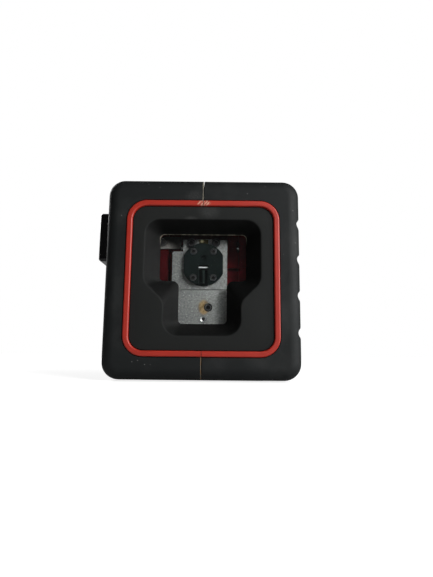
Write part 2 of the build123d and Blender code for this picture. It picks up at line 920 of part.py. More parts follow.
def chassis_cuts():
    """Bearing seats, magnet seat, lock arm slot and screw holes of the chassis."""
    shapes = []
    for side in (-1, 1):
        seat = span(side, post_inner - overlap, post_inner + pitch_bearing_width)
        shapes.append(rod_x(pitch_bearing_radius, seat, pivot_y, pivot_z))
        relief = span(side, post_inner, post_inner + pitch_bearing_width + 2 * pin_end_gap)
        shapes.append(rod_x(pitch_pin_radius + slide_gap, relief, pivot_y, pivot_z))
    for x, y in foot_spots:
        shapes.append(rod_z(foot_screw_radius, x, y, (base_flange_top - overlap, foot_screw_end)))
    arm_reach = arm_width / 2 + arm_slot_gap
    shapes.append(block((-post_outer - overlap, -post_inner + overlap),
                        (pivot_y - arm_reach, pivot_y + arm_reach), (foot_top, bridge_low)))
    shapes.append(rod_z(magnet_hole, 0, pivot_y, (bridge_low - overlap, bridge_high)))
    shapes.append(rod_z(magnet_radius, 0, pivot_y, (bridge_high - magnet_thick, bridge_high + overlap)))
    shapes.append(rod_y(stop_screw_radius, stop_screw_x, (post_front, post_front + stop_screw_bite),
                        stop_screw_z))
    band = (band_z - band_height / 2, band_z + band_height / 2)
    shapes.append(block((post_inner - overlap, post_outer + overlap),
                        (post_front - overlap, post_front + band_depth), band))
    shapes.append(block((cheek_inner - overlap, post_inner), (cheek_front, cheek_back), band))
    return together(shapes)


def damping_magnet():
    """Ring magnet under the copper bob; the brake pad passes through its hole."""
    z = (bridge_high - magnet_thick, bridge_high)
    return rod_z(magnet_radius, 0, pivot_y, z) - rod_z(magnet_hole, 0, pivot_y, z)


def swing_stop():
    """Grey plate whose tongue reaches into the face plate's notch and limits the swing."""
    plate = block((-post_outer, stop_tip), (post_front - stop_thick, post_front), (stop_low, stop_high))
    return plate - rod_y(stop_screw_radius, stop_screw_x, (post_front - far, post_front), stop_screw_z)


def pitch_bearings():
    """Two bearings in the posts that carry the pitch pins."""
    shapes = []
    for side in (-1, 1):
        x = span(side, post_inner, post_inner + pitch_bearing_width)
        ring = rod_x(pitch_bearing_radius, x, pivot_y, pivot_z)
        shapes.append(ring - rod_x(pitch_pin_radius + running, x, pivot_y, pivot_z))
    return together(shapes)


# Gimbal

def gimbal_block():
    """Cross block that carries the pitch pins outside and the roll bearings inside."""
    x = (-gimbal_half_x, gimbal_half_x)
    y = (pivot_y - gimbal_half_y, pivot_y + gimbal_half_y)
    frame = block(x, y, (pivot_z - gimbal_half_z, pivot_z + gimbal_half_z))
    frame -= rod_y(roll_pin_radius + slide_gap, 0, y, pivot_z)
    for ends in roll_bearing_spans():
        frame -= rod_y(roll_bearing_radius, 0, ends, pivot_z)
    for side in (-1, 1):
        frame -= rod_x(pitch_pin_radius, span(side, gimbal_half_x - pitch_pin_press, gimbal_half_x),
                       pivot_y, pivot_z)
    return frame


def roll_bearing_spans():
    """Front and back stretch along Y that the two roll bearings fill."""
    front = pivot_y - gimbal_half_y
    back = pivot_y + gimbal_half_y
    return [(front, front + roll_bearing_width), (back - roll_bearing_width, back)]


def roll_bearings():
    """Two bearings in the gimbal block that the roll pin turns in."""
    shapes = []
    for ends in roll_bearing_spans():
        ring = rod_y(roll_bearing_radius, 0, ends, pivot_z)
        shapes.append(ring - rod_y(roll_pin_radius + running, 0, ends, pivot_z))
    return together(shapes)


def pitch_pins():
    """Two steel pins pressed into the gimbal block."""
    outer = post_inner + pitch_bearing_width + pin_end_gap
    inner = gimbal_half_x - pitch_pin_press
    return together([rod_x(pitch_pin_radius, span(side, inner, outer), pivot_y, pivot_z)
                     for side in (-1, 1)])


# Pendulum

def face_plate():
    """Silver front plate with a step at its upper left that clears the swing stop."""
    points = [(plate_left, plate_bottom), (plate_right, plate_bottom), (plate_right, plate_top),
              (notch_x, plate_top), (notch_x, notch_z), (plate_left, notch_z)]
    outline = make_face(Polyline(*points, close=True))
    outline = rounded_at(outline, [points[0], points[1], points[5]], plate_round)
    plate = slab(outline, plate_front, plate_back)
    plate -= rod_y(roll_pin_radius, 0, (plate_front, plate_back), pivot_z) + pin_seat()
    plate -= rod_y(barrel_radius, 0, (plate_front, plate_back), cap_z)
    for side in (-1, 1):
        plate -= rod_y(plate_screw_radius, side * plate_screw_x, (plate_front, plate_back),
                       pivot_z + plate_screw_rise)
    for x, z in cap_screw_spots:
        plate -= rod_y(cap_screw_radius, x, (plate_front, plate_back), z)
    return plate


def plate_screws():
    """Two black screws that hold the face plate on the carrier's columns."""
    place_z = pivot_z + plate_screw_rise
    return together([screw(rod_y, (side * plate_screw_x, None, place_z), plate_front, plate_screw_head,
                           plate_head_length, plate_screw_radius, plate_thick + plate_screw_bite)
                     for side in (-1, 1)])


def carrier():
    """Cast body behind the face plate: module block with a rib on its right that balances the
    wider left of the face plate, spine, two columns and the rear pin lug."""
    block_x = (-carrier_half, carrier_half + balance_rib)
    body = block(block_x, (plate_back, carrier_back), (carrier_low, carrier_high))
    body += block((-spine_half, spine_half), (plate_back, spine_back), (weight_low, carrier_low))
    for side in (-1, 1):
        body += block(span(side, column_inner, carrier_half), (plate_back, plate_back + column_depth),
                      (carrier_high, pivot_z + column_rise))
    body += block((-lug_half, lug_half), (carrier_back - lug_depth, carrier_back),
                  (carrier_high, pivot_z + lug_rise))
    body -= rod_y(barrel_radius, 0, (plate_back, carrier_back), cap_z)
    body -= rod_y(roll_pin_radius, 0, (carrier_back - lug_depth, carrier_back), pivot_z)
    for side in (-1, 1):
        body -= rod_y(plate_screw_radius, side * plate_screw_x,
                      (plate_back, plate_back + plate_screw_bite), pivot_z + plate_screw_rise)
    for x, z in cap_screw_spots:
        body -= rod_y(cap_screw_radius, x, (plate_back, cap_screw_end), z)
    calibration_end = plate_back + calibration_bite
    body -= rod_y(calibration_radius, calibration_x, (plate_back, calibration_end), calibration_z)
    return body - rod_z(bob_screw_radius, 0, pivot_y, (weight_low, bob_head_top + bob_screw_length))


def pin_seat():
    """Seat of the roll pin's head, open at the face plate's top edge so that the pin can't turn."""
    depths = (plate_front, plate_front + pin_head_depth)
    seat = rod_y(pin_head_half, 0, depths, pivot_z)
    return seat + block((-pin_head_half, pin_head_half), depths, (pivot_z, plate_top))


def roll_pin():
    """Brass pin through the face plate and the rear lug that the pendulum rolls on."""
    return rod_y(roll_pin_radius, 0, (plate_front, carrier_back), pivot_z) + pin_seat()


def cap_screw_seat():
    """Depth of the shoulder under the cap screws' heads."""
    return cap_front + cap_head_sink


def module_cap():
    """Black round cap with a flat on each side, which holds both rod lenses before the laser barrel."""
    cap = rod_y(cap_radius, 0, (cap_front, plate_front), cap_z)
    cap &= block((-cap_half, cap_half), (-far, far), (-far, far))
    cap = chamfer(cap.faces().sort_by(Axis.Y)[0].edges(), cap_edge)
    for x, z in cap_screw_spots:
        cap -= rod_y(cap_head_radius + cap_head_gap, x, (cap_front, cap_screw_seat()), z)
        cap -= rod_y(cap_screw_radius, x, (cap_screw_seat(), plate_front), z)
    cap -= rod_y(aim_hole_radius, 0, (cap_front, cap_front + aim_hole_depth), cap_z + aim_hole_rise)
    lens_z = cap_z - lens_drop
    slot_x = (-lens_length / 2, lens_length / 2)
    slot_z = (lens_z - lens_slot_half, lens_z + lens_slot_half)
    cap -= block(slot_x, (cap_front, plate_front), slot_z)
    channel_x = (-channel_width / 2, channel_width / 2)
    channel_z = (cap_z - cap_radius, lens_z - lens_slot_half)
    return cap - block(channel_x, (cap_front, cap_front + channel_depth), channel_z)


def cap_screws():
    """Four screws of the module cap, sunk below its face."""
    length = cap_screw_end - cap_screw_seat()
    return together([screw(rod_y, (x, None, z), cap_screw_seat(), cap_head_radius, cap_head_sink - slip,
                           cap_screw_radius, length)
                     for x, z in cap_screw_spots])


def rod_lenses():
    """Two glass rods: one lies across the beam, the other stands in the channel under it."""
    level_y = cap_front + lens_sink + lens_radius
    level = rod_x(lens_radius, (-lens_length / 2, lens_length / 2), level_y, cap_z - lens_drop)
    low = cap_z - cap_radius + upright_lens_end
    high = cap_z - lens_drop - lens_slot_half
    upright_y = cap_front + channel_depth - upright_lens_radius
    return together([level, rod_z(upright_lens_radius, 0, upright_y, (low, high))])


def laser_barrel():
    """Barrel of the laser module behind the cap, bored for the diode."""
    barrel = rod_y(barrel_radius, 0, (plate_front, carrier_back + barrel_proud), cap_z)
    end = carrier_back + barrel_proud
    return barrel - rod_y(diode_radius, 0, (end - diode_length, end), cap_z)


def laser_diode():
    """Diode can at the back end of the barrel."""
    end = carrier_back + barrel_proud
    return rod_y(diode_radius, 0, (end - diode_length, end), cap_z)


def balance_weight():
    """Lower silver block with the calibration screw."""
    width = weight_right - weight_left
    height = weight_high - weight_low
    outline = Pos((weight_left + weight_right) / 2, (weight_low + weight_high) / 2) * Rectangle(width, height)
    outline = rounded_at(outline, [(weight_left, weight_low), (weight_right, weight_low)], weight_round)
    weight = slab(outline, weight_front, plate_back)
    weight -= rod_y(calibration_radius, calibration_x, (weight_front, plate_back), calibration_z)
    pin_end = weight_front + balance_pin_length
    return weight - rod_y(balance_pin_radius, balance_pin_x, (weight_front, pin_end), balance_pin_z)


def calibration_screw():
    """Black socket set screw through the balance weight into the carrier."""
    front = weight_front + calibration_sink
    end = plate_back + calibration_bite
    thread = rod_y(calibration_radius, calibration_x, (front, end), calibration_z)
    socket = (front, front + calibration_socket)
    return thread - rod_y(calibration_radius * socket_share, calibration_x, socket, calibration_z)


def balance_pin():
    """Small bright pin with a domed end below the calibration screw."""
    front = weight_front - balance_pin_proud
    pin = rod_y(balance_pin_radius, balance_pin_x, (front, weight_front + balance_pin_length), balance_pin_z)
    return fillet(pin.faces().sort_by(Axis.Y)[0].edges(), balance_pin_proud)


def sealing_glue():
    """Thin patch of glue that seals the calibration screw."""
    patch = Pos(calibration_x - glue_shift, calibration_z) * Ellipse(glue_half_width, glue_half_height)
    front = weight_front - glue_thick
    glue = slab(patch, front, weight_front)
    return glue - rod_y(calibration_radius, calibration_x, (front, weight_front), calibration_z)


def damping_bob():
    """Copper bob whose underside is a sphere about the pivot, so that the swing keeps its gap."""
    bob = rod_z(bob_radius, 0, pivot_y, (bob_low, weight_low))
    bob &= Pos(0, pivot_y, pivot_z) * Sphere(bob_sphere)
    bob -= rod_z(bob_screw_head + slip, 0, pivot_y, (bob_low - overlap, bob_head_top))
    return bob - rod_z(bob_screw_radius, 0, pivot_y, (bob_head_top, weight_low))


def bob_screw():
    """Screw that holds the bob under the carrier, sunk into the bob."""
    return screw(rod_z, (0, pivot_y, None), bob_head_top, bob_screw_head, bob_head_length,
                 bob_screw_radius, bob_screw_length)


# Lock slide

def neck_block(grow):
    """Neck of the lock slide where it enters the thumb, grown by a distance."""
    x = (-thumb_inner - neck_grip - grow, -cavity_side + slide_gap)
    y = (pivot_y - neck_width / 2 - grow, pivot_y + neck_width / 2 + grow)
    return block(x, y, (neck_z - neck_height / 2 - grow, neck_z + neck_height / 2 + grow))


def lock_thumb():
    """Glossy thumb block on the left side, with a shallow dish."""
    thumb = block((-thumb_outer, -thumb_inner), (thumb_front, thumb_back), (thumb_low, thumb_high))
    rims = thumb.edges().filter_by(lambda edge: edge.center().X < -thumb_inner - running)
    thumb = fillet(rims, thumb_round)
    thumb -= block((-thumb_outer - overlap, -thumb_outer + thumb_dish),
                   (thumb_front + thumb_dish_margin, thumb_back - thumb_dish_margin),
                   (thumb_low + thumb_dish_margin, thumb_high - thumb_dish_margin))
    return thumb - neck_block(running)


def lock_guide():
    """Dark strip set into the rubber that the thumb runs on."""
    return guide_block(0) - lock_slot()


def lock_carrier():
    """Inner plate of the lock slide, with the neck that reaches out to the thumb."""
    x = (-cavity_side + slide_gap, -cavity_side + slide_gap + carrier_plate_thick)
    y = (pivot_y - carrier_plate_width / 2, pivot_y + carrier_plate_width / 2)
    return block(x, y, (arm_low, carrier_plate_top)) + neck_block(0)


def lock_arm():
    """Bent strip from the lock slide to a point under the bob."""
    inner = -cavity_side + slide_gap + carrier_plate_thick
    y = (pivot_y - arm_width / 2, pivot_y + arm_width / 2)
    arm = block((inner, arm_past_centre), y, (arm_low, arm_high))
    return arm + block((inner, inner + arm_tab_thick), y, (arm_low, arm_low + arm_tab_height))


def brake_pad():
    """Rubber pad on the arm that closes on the bob when the slide is pushed up."""
    return rod_z(pad_radius, 0, pivot_y, (arm_high, pad_top))


# Keypad

def button_outline(side, grow):
    """Button head seen from above, grown by a distance."""
    shape = RectangleRounded(button_width + 2 * grow, button_depth + 2 * grow, button_corner + grow)
    return Pos(side * button_x, button_y) * shape


def keypad_panel():
    """Panel set into the top, with openings for the buttons and the light pipes."""
    panel = lying(panel_outline(0), shell_top, panel_top)
    for side in (-1, 1):
        panel -= lying(button_outline(side, slide_gap), shell_top - overlap, panel_top + overlap)
        panel -= rod_z(light_radius, side * button_x, light_y, (shell_top, panel_top))
    return panel


def push_button(side):
    """Button with a flange that stays under the panel and a stem that ends in its switch's well."""
    head = lying(button_outline(side, 0), button_flange_low, button_top)
    head = fillet(head.faces().sort_by(Axis.Z)[-1].edges(), button_round)
    head += lying(button_outline(side, button_flange), button_flange_low, button_flange_top)
    head += rod_z(button_stem_radius, side * button_x, button_y, (plunger_top, button_flange_low))
    return head + rod_z(plunger_radius, side * button_x, button_y, (switch_top - plunger_sunk, plunger_top))


def tact_switches():
    """Two switch bodies on the button board."""
    shapes = []
    reach = switch_size / 2
    for side in (-1, 1):
        x = side * button_x
        body = block((x - reach, x + reach), (button_y - reach, button_y + reach), (switch_low, switch_top))
        well = (switch_top - plunger_sunk - button_travel - slip, switch_top)
        shapes.append(body - rod_z(plunger_radius + running, x, button_y, well))
    return together(shapes)


def button_board():
    """Small circuit board under the keypad."""
    board = block((-button_board_half_x, button_board_half_x), (-button_board_half_y, button_board_half_y),
                  (button_board_z, switch_low))
    for side in (-1, 1):
        board -= rod_z(small_screw_radius, side * button_boss_x, 0, (button_board_z, switch_low))
    return board


def board_screws():
    """Two screws that hold the button board under the roof and four of the main board."""
    sizes = (small_head_radius, small_head_length, small_screw_radius, small_screw_length)
    shapes = [screw(rod_z, (side * button_boss_x, 0, None), button_board_z, *sizes) for side in (-1, 1)]
    shapes += [screw(rod_x, (None, y, z), main_board_x, *sizes) for y, z in main_screw_spots]
    return together(shapes)


def status_lights():
    """Two light emitting diodes on the button board."""
    return together([rod_z(led_radius, side * button_x, light_y, (switch_low, switch_low + led_height))
                     for side in (-1, 1)])


def light_pipes():
    """Two clear pipes that carry the status light through the panel."""
    z = (switch_low + led_height + pipe_gap, panel_top + light_proud)
    return together([rod_z(light_radius, side * button_x, light_y, z) for side in (-1, 1)])


# Main board and wiring

def main_board():
    """Upright circuit board on the right side."""
    x = (main_board_x, main_board_x + board_thick)
    board = block(x, (main_board_front, main_board_back), (main_board_low, main_board_high))
    for y, z in main_screw_spots:
        board -= rod_x(small_screw_radius, x, y, z)
    return board


def board_components():
    """Controller chip and a row of round capacitors on the main board."""
    middle = (main_board_front + main_board_back) / 2
    reach = chip_size / 2
    shapes = [block((main_board_x - chip_height, main_board_x), (middle - reach, middle + reach),
                    (chip_z - reach, chip_z + reach))]
    x = (main_board_x - capacitor_height, main_board_x)
    shapes += [rod_x(capacitor_radius, x, capacitor_y, capacitor_low_z + index * capacitor_pitch)
               for index in range(capacitor_count)]
    return together(shapes)


def ribbon_level():
    """Level of the ribbon's underside where it leaves the button board."""
    return button_board_z - ribbon_drop


def board_plugs():
    """Ribbon plugs on both boards and the battery lead plug on the main board."""
    x = (main_board_x - plug_height, main_board_x)
    y = (ribbon_y - ribbon_plug_width / 2, ribbon_y + ribbon_plug_width / 2)
    ribbon_main = block(x, y, (main_plug_z - plug_length, main_plug_z))
    ribbon_x = (ribbon_plug_x - plug_length, ribbon_plug_x)
    ribbon_button = block(ribbon_x, y, (button_board_z - ribbon_plug_thick, button_board_z))
    lead_y = (lead_plug_y - lead_plug_width / 2, lead_plug_y + lead_plug_width / 2)
    leads = block(x, lead_y, (lead_plug_z - lead_plug_length / 2, lead_plug_z + lead_plug_length / 2))
    return together([ribbon_main, ribbon_button, leads])


def ribbon_cable():
    """Flat cable from the button board over one round bend down to the main board."""
    y = (ribbon_y - ribbon_width / 2, ribbon_y + ribbon_width / 2)
    down_x = main_board_x - plug_height / 2
    top = ribbon_level() + ribbon_thick
    bend_x = down_x - ribbon_bend
    bend_z = ribbon_level() - ribbon_bend
    level = block((ribbon_plug_x, bend_x), y, (ribbon_level(), top))
    bend = rod_y(ribbon_bend + ribbon_thick, bend_x, y, bend_z) - rod_y(ribbon_bend, bend_x, y, bend_z)
    bend &= block((bend_x, far), y, (bend_z, far))
    fall = block((down_x, down_x + ribbon_thick), y, (main_plug_z, bend_z))
    return level + bend + fall


def lead(points):
    """Round wire along straight runs joined by equal arcs."""
    path = FilletPolyline(*points, radius=lead_bend)
    start = Plane(origin=points[0], z_dir=Vector(*points[1]) - Vector(*points[0]))
    return sweep(start * Circle(lead_radius), path=path)


def battery_leads():
    """Two wires from the bay's end contacts to the plug on the main board."""
    x = main_board_x - plug_height / 2
    first_y = lead_plug_y - lead_pitch / 2
    second_y = lead_plug_y + lead_pitch / 2
    plug_top = lead_plug_z + lead_plug_length / 2
    plug_low = lead_plug_z - lead_plug_length / 2
    over = tray_high + lead_rise
    upper = [(cell_spots[0], cell_y, tray_high), (cell_spots[0], cell_y, over),
             (x, cell_y, over), (x, second_y, over - lead_rise), (x, second_y, plug_top)]
    side_x = tray_half + lead_rise
    level = bay_low + lead_rise
    lower = [(tray_half, cell_y - contact_half, level), (side_x, cell_y - contact_half, level),
             (x, first_y, level + lead_rise), (x, first_y, plug_low)]
    return lead(upper) + lead(lower)


# Battery bay

def battery_tray():
    """Open box for the cells, held behind the back wall by its flange."""
    tray = block((-tray_half, tray_half), (tray_front, tray_back), (tray_low, tray_high))
    reach = tray_half + tray_flange
    tray += block((-reach, reach), (cavity_back - tray_flange_thick, cavity_back),
                  (tray_flange_low, tray_high + tray_flange))
    inner = tray_half - tray_wall
    return tray - block((-inner, inner), (tray_front + tray_wall, far), (bay_low, bay_high))


def cell(x, nub_up):
    """Round cell with its nub at the top or at the bottom."""
    if nub_up:
        can = rod_z(cell_radius, x, cell_y, (cell_low, cell_high - cell_nub_length))
        return can + rod_z(cell_nub_radius, x, cell_y, (cell_high - cell_nub_length, cell_high))
    can = rod_z(cell_radius, x, cell_y, (cell_low + cell_nub_length, cell_high))
    return can + rod_z(cell_nub_radius, x, cell_y, (cell_low, cell_low + cell_nub_length))


def battery_cells():
    """Cells side by side, turned head to tail."""
    return together([cell(x, index % 2 == 0) for index, x in enumerate(cell_spots)])


def battery_contacts():
    """Contact plates: one bridge at each end of the row and the two end contacts."""
    y = (cell_y - contact_half, cell_y + contact_half)
    low = (bay_low, bay_low + contact_thick)
    high = (cell_high, cell_high + contact_thick)
    shapes = []
    for index, x in enumerate(cell_spots):
        level_pair = (high, low) if index % 2 == 0 else (low, high)
        next_x = cell_spots[min(index + 1, cell_count - 1)]
        if index == 0:
            shapes.append(block((x - contact_half, x + contact_half), y, level_pair[0]))
        end = max(next_x, x) + contact_half
        shapes.append(block((x - contact_half, end), y, level_pair[1]))
    return together(shapes)


def battery_door():
    """Back door with a rounded lower edge about its hinge, two knuckles and a finger scoop."""
    x = (-door_half, door_half)
    door = block(x, (door_inner, back_y), (hinge_z, door_top))
    edge = block(x, (door_inner, back_y), (door_low, hinge_z)) & rod_x(hinge_sink, x, hinge_y, hinge_z)
    door += edge
    for side in (-1, 1):
        door += rod_x(knuckle_radius, span(side, knuckle_inner, tray_half), hinge_y, hinge_z)
    door -= rod_x(hinge_pin_radius + running, x, hinge_y, hinge_z)
    scoop = door_scoop_width / 2
    return door - block((-scoop, scoop), (back_y - door_scoop_depth, back_y + overlap),
                        (door_top - door_scoop_height, door_top + overlap))


def door_seal():
    """Thin rubber frame on the door's inner face that meets the tray's rim."""
    outer = tray_half
    inner = tray_half - door_seal_width
    y = (door_inner - door_seal_thick, door_inner)
    low = tray_low + slide_gap
    frame = block((-outer, outer), y, (low, tray_high))
    return frame - block((-inner, inner), y, (low + door_seal_width, tray_high - door_seal_width))


def hinge_pin():
    """Steel pin of the battery door, held in both half shells."""
    return rod_x(hinge_pin_radius, hinge_span(), hinge_y, hinge_z)


def all_pieces():
    """Every piece of the tool by its name."""
    jacket = jacket_form()
    shell = shell_form()
    ring = ring_form()
    pieces = {}
    for side, name in ((-1, "left"), (1, "right")):
        pieces[name + "_jacket"] = half(jacket, side, seam_gap)
        pieces[name + "_shell"] = half(shell, side, 0)
        pieces[name + "_ring"] = half(ring, side, slip)
    makers = [case_screws, front_bezel, window_gasket, front_window, base_plate, tripod_bush,
              chassis_screws, chassis, damping_magnet, swing_stop, pitch_bearings, gimbal_block,
              roll_bearings, pitch_pins, face_plate, plate_screws, carrier, roll_pin, module_cap,
              cap_screws, rod_lenses, laser_barrel, laser_diode, balance_weight, calibration_screw,
              balance_pin, sealing_glue, damping_bob, bob_screw, lock_thumb, lock_guide, lock_carrier,
              lock_arm, brake_pad, keypad_panel, tact_switches, button_board, board_screws,
              status_lights, light_pipes, main_board, board_components, board_plugs, ribbon_cable,
              battery_leads, battery_tray, battery_cells, battery_contacts, battery_door, door_seal,
              hinge_pin]
    for maker in makers:
        pieces[maker.__name__] = maker()
    for side, name in ((-1, "line"), (1, "pulse")):
        pieces[name + "_button"] = push_button(side)
    return pieces


os.makedirs("parts", exist_ok=True)
for piece_name, piece in all_pieces().items():
    export_step(piece, f"parts/{piece_name}.step")
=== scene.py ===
import json
import math

import bmesh
import bpy
import numpy as np
from mathutils import Matrix, Vector


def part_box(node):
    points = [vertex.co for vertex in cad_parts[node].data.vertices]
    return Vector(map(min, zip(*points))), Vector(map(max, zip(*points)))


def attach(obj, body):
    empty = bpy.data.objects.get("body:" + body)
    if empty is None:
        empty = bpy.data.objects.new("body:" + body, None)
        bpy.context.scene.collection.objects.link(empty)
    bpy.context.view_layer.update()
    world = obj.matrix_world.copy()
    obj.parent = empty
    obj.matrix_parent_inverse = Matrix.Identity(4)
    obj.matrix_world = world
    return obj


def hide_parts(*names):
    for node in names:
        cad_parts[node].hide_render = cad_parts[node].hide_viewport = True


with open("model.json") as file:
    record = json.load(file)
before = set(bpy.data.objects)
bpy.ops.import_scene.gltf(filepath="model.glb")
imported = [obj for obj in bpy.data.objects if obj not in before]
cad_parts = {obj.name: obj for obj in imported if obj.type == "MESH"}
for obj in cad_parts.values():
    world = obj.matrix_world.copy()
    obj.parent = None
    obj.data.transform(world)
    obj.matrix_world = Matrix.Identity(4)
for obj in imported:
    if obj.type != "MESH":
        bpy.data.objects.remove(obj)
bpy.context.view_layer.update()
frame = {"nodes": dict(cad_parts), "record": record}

bl_info = {
    "name": "Cross line laser level",
    "version": (1, 0, 0),
    "blender": (4, 5, 0),
    "location": "View3D > Sidebar > Laser level",
    "description": "Finishes and fine pieces of a cross line laser level around its solids",
    "category": "Object",
}

# Lengths are in metres, in the frame of the solids, or in millimetres where a line says so
MM = 0.001
NODE_SLOTS = {part["node"]: part["material_slot"] for part in frame["record"]["subparts"]}
PHOTO_HEIGHT = 577
SENSOR_MM = 36.0


# Sizes and colours that a user would change

def length(name, description, default):
    """Length property with a default in millimetres."""
    return bpy.props.FloatProperty(name=name, description=description, default=default * MM,
                                   unit="LENGTH", precision=5)


def number(name, description, default):
    """Plain number property."""
    return bpy.props.FloatProperty(name=name, description=description, default=default)


def angle(name, description, default):
    """Angle property with a default in degrees."""
    return bpy.props.FloatProperty(name=name, description=description, default=math.radians(default),
                                   subtype="ANGLE")


def colour(name, description, default):
    """Colour property, as linear red, green and blue."""
    return bpy.props.FloatVectorProperty(name=name, description=description, default=default,
                                         size=3, min=0.0, max=1.0, subtype="COLOR")


class LevelSizes(bpy.types.PropertyGroup):
    """Sizes of the pieces that are drawn as fine surfaces."""
    lip: length("Recess lip", "How far the round of the recess's mouth reaches", 0.7)
    throat_edge: length("Throat edge", "How far the round at the window reaches", 0.35)
    face_edge: length("Face edge", "Round of the bezel's outer edge", 0.5)
    recess_depth: length("Recess depth", "From the bezel's face to the window seat", 8.4)
    skirt_depth: length("Skirt depth", "From the bezel's face to the back of its skirt", 6.4)
    throat_top_half: length("Throat half width", "Half of the window opening's upper width", 21.6)
    throat_foot_half: length("Throat foot", "Half of the window opening's lower width", 11.9)
    throat_top: length("Throat top", "Upper edge of the window opening", 72.8)
    throat_shoulder: length("Throat shoulder", "Level of the step in the window opening", 49.3)
    throat_bottom: length("Throat bottom", "Lower edge of the window opening", 27.8)
    throat_round: length("Throat round", "Outer corners of the window opening", 2.0)
    throat_bend: length("Throat bend", "Inner corners of the window opening", 3.4)
    flare_side: length("Flare at the sides", "How much wider the mouth is on each side", 6.8)
    flare_top: length("Flare at the top", "How much higher the mouth is", 5.9)
    flare_bottom: length("Flare at the bottom", "How much lower the mouth is", 6.2)
    flare_shoulder: length("Flare at the shoulder", "How much lower the mouth's shoulder is", 1.7)
    shoulder_slant: length("Shoulder slant", "Height of the slanted shoulder", 9.6)
    mouth_round: length("Mouth round", "Corners of the mouth", 7.5)
    ring_corner: length("Bezel corner", "Corner of the bezel's outline", 7.0)
    ring_band: length("Ring band", "Width of the red ring", 2.8)
    bezel_gap: length("Bezel gap", "Gap between the bezel and the ring", 0.1)
    wall: length("Bezel wall", "Wall of the bezel and its funnel", 1.6)
    seam_left: length("Seam start", "Left edge of the seam's bead", -0.35)
    seam_right: length("Seam end", "Right edge of the seam's bead", -0.03)
    seam_proud: length("Seam rise", "How far the bead stands out of the rubber", 0.03)
    seam_depth: length("Seam depth", "How deep the bead reaches", 1.4)
    rib_count: bpy.props.IntProperty(name="Thumb ribs", default=5,
                                     description="Ribs in the lock thumb's dish")
    rib_width: length("Rib width", "Width of a rib of the thumb", 1.3)
    rib_height: length("Rib height", "Height of a rib of the thumb", 0.6)
    dish_margin: length("Dish margin", "Border around the thumb's dish", 4.0)
    dish_depth: length("Dish depth", "Depth of the thumb's dish", 0.8)
    scoop_width: length("Scoop width", "Width of the door's finger scoop", 16.0)
    scoop_height: length("Scoop height", "Height of the door's finger scoop", 5.0)
    scoop_depth: length("Scoop depth", "Depth of the door's finger scoop", 1.2)
    scoop_ribs: bpy.props.IntProperty(name="Scoop ribs", default=3,
                                      description="Ribs in the door's scoop")
    scoop_rib: length("Scoop rib", "Width of a rib of the door's scoop", 0.9)
    body_edge: length("Body edge", "Round of the body's front and back edges", 6.0)
    cap_head: length("Cap screw head", "Radius of the module cap's screw heads", 1.7)
    plate_head: length("Plate screw head", "Radius of the face plate's screw heads", 2.2)
    case_head: length("Case screw head", "Radius of the case screws' heads", 2.6)


class LevelColours(bpy.types.PropertyGroup):
    """Colours of the finishes."""
    rubber: colour("Rubber", "Black jacket", (0.0100, 0.0115, 0.0118))
    rubber_dust: colour("Dust", "Dust in the rubber's grain", (0.060, 0.062, 0.060))
    red: colour("Ring", "Red ring", (0.42, 0.026, 0.014))
    chip: colour("Chips", "Bare chips on the ring", (0.62, 0.34, 0.24))
    bezel: colour("Bezel", "Dark grey bezel", (0.0162, 0.0173, 0.0168))
    silver: colour("Casting", "Blasted silver casting", (0.20, 0.205, 0.20))
    glue: colour("Glue", "Sealing glue", (0.25, 0.165, 0.068))
    # The seam colour is partly painted highlight, for the lit edge of the seam
    seam: colour("Seam", "Tongue that shows in the seam", (0.36, 0.33, 0.26))
    paint: colour("Paint", "Dark red chassis", (0.056, 0.0024, 0.0042))


class LevelStage(bpy.types.PropertyGroup):
    """Camera and light."""
    camera_x: length("Camera X", "Camera's place to the right", 6.9)
    camera_y: length("Camera Y", "Camera's place along the depth", -235.6)
    camera_z: length("Camera Z", "Camera's height", 13.0)
    camera_pitch: angle("Pitch", "How far the camera looks up", 8.7)
    camera_roll: angle("Roll", "Turn about the line of sight", 0.55)
    focal_pixels: number("Focal length", "Focal length in pixels of the picture", 429.0)
    key_power: number("Key light", "Power of the light at the front right, in watts", 4.6)
    side_power: number("Side light", "Power of the light at the right, in watts", 2.6)
    back_power: number("Back light", "Power of the light behind at the left, in watts", 4.0)
    sky: number("Sky", "Strength of the white surroundings as light", 0.05)


SETTINGS = {"level_sizes": LevelSizes, "level_colours": LevelColours, "level_stage": LevelStage}


def sizes():
    """Sizes as the sidebar has them."""
    return bpy.context.scene.level_sizes


def colours():
    """Colours as the sidebar has them."""
    return bpy.context.scene.level_colours


# Finishes

NOISE_LOW, NOISE_HIGH = 0.3, 0.7
PATCH_CORE = 0.2
# Patches at a node's front, in millimetres: to the right and above the node's top, and reach
PATCHES = {
    "scuff": ("left_ring", (-4.5, 2.2), (6.0, 5.0, 4.0)),
    "chips": ("left_ring", (0.2, -1.4), (7.0, 5.0, 4.4)),
    "dust": ("front_bezel", (3.0, -5.5), (7.0, 6.0, 5.0)),
    "smear": ("front_bezel", (-6.0, -9.5), (4.0, 6.0, 2.0)),
    "painted_glint": ("roll_pin", (-0.9, -1.0), (1.5, 4.0, 1.1)),
}
# Printed bars on the keys, in millimetres: to the right of the key's middle, half width, half depth
KEY_MARKS = {
    "line_button": [(0.0, 0.25, 3.0), (0.0, 4.0, 0.25)],
    "pulse_button": [(-2.2, 0.35, 1.6), (0.0, 0.35, 2.8), (2.2, 0.35, 1.6)],
}
SCRATCH_LEAN = math.radians(38.0)
GLASS_IOR = 1.46
NEAR_BLACK = (0.003, 0.003, 0.003)


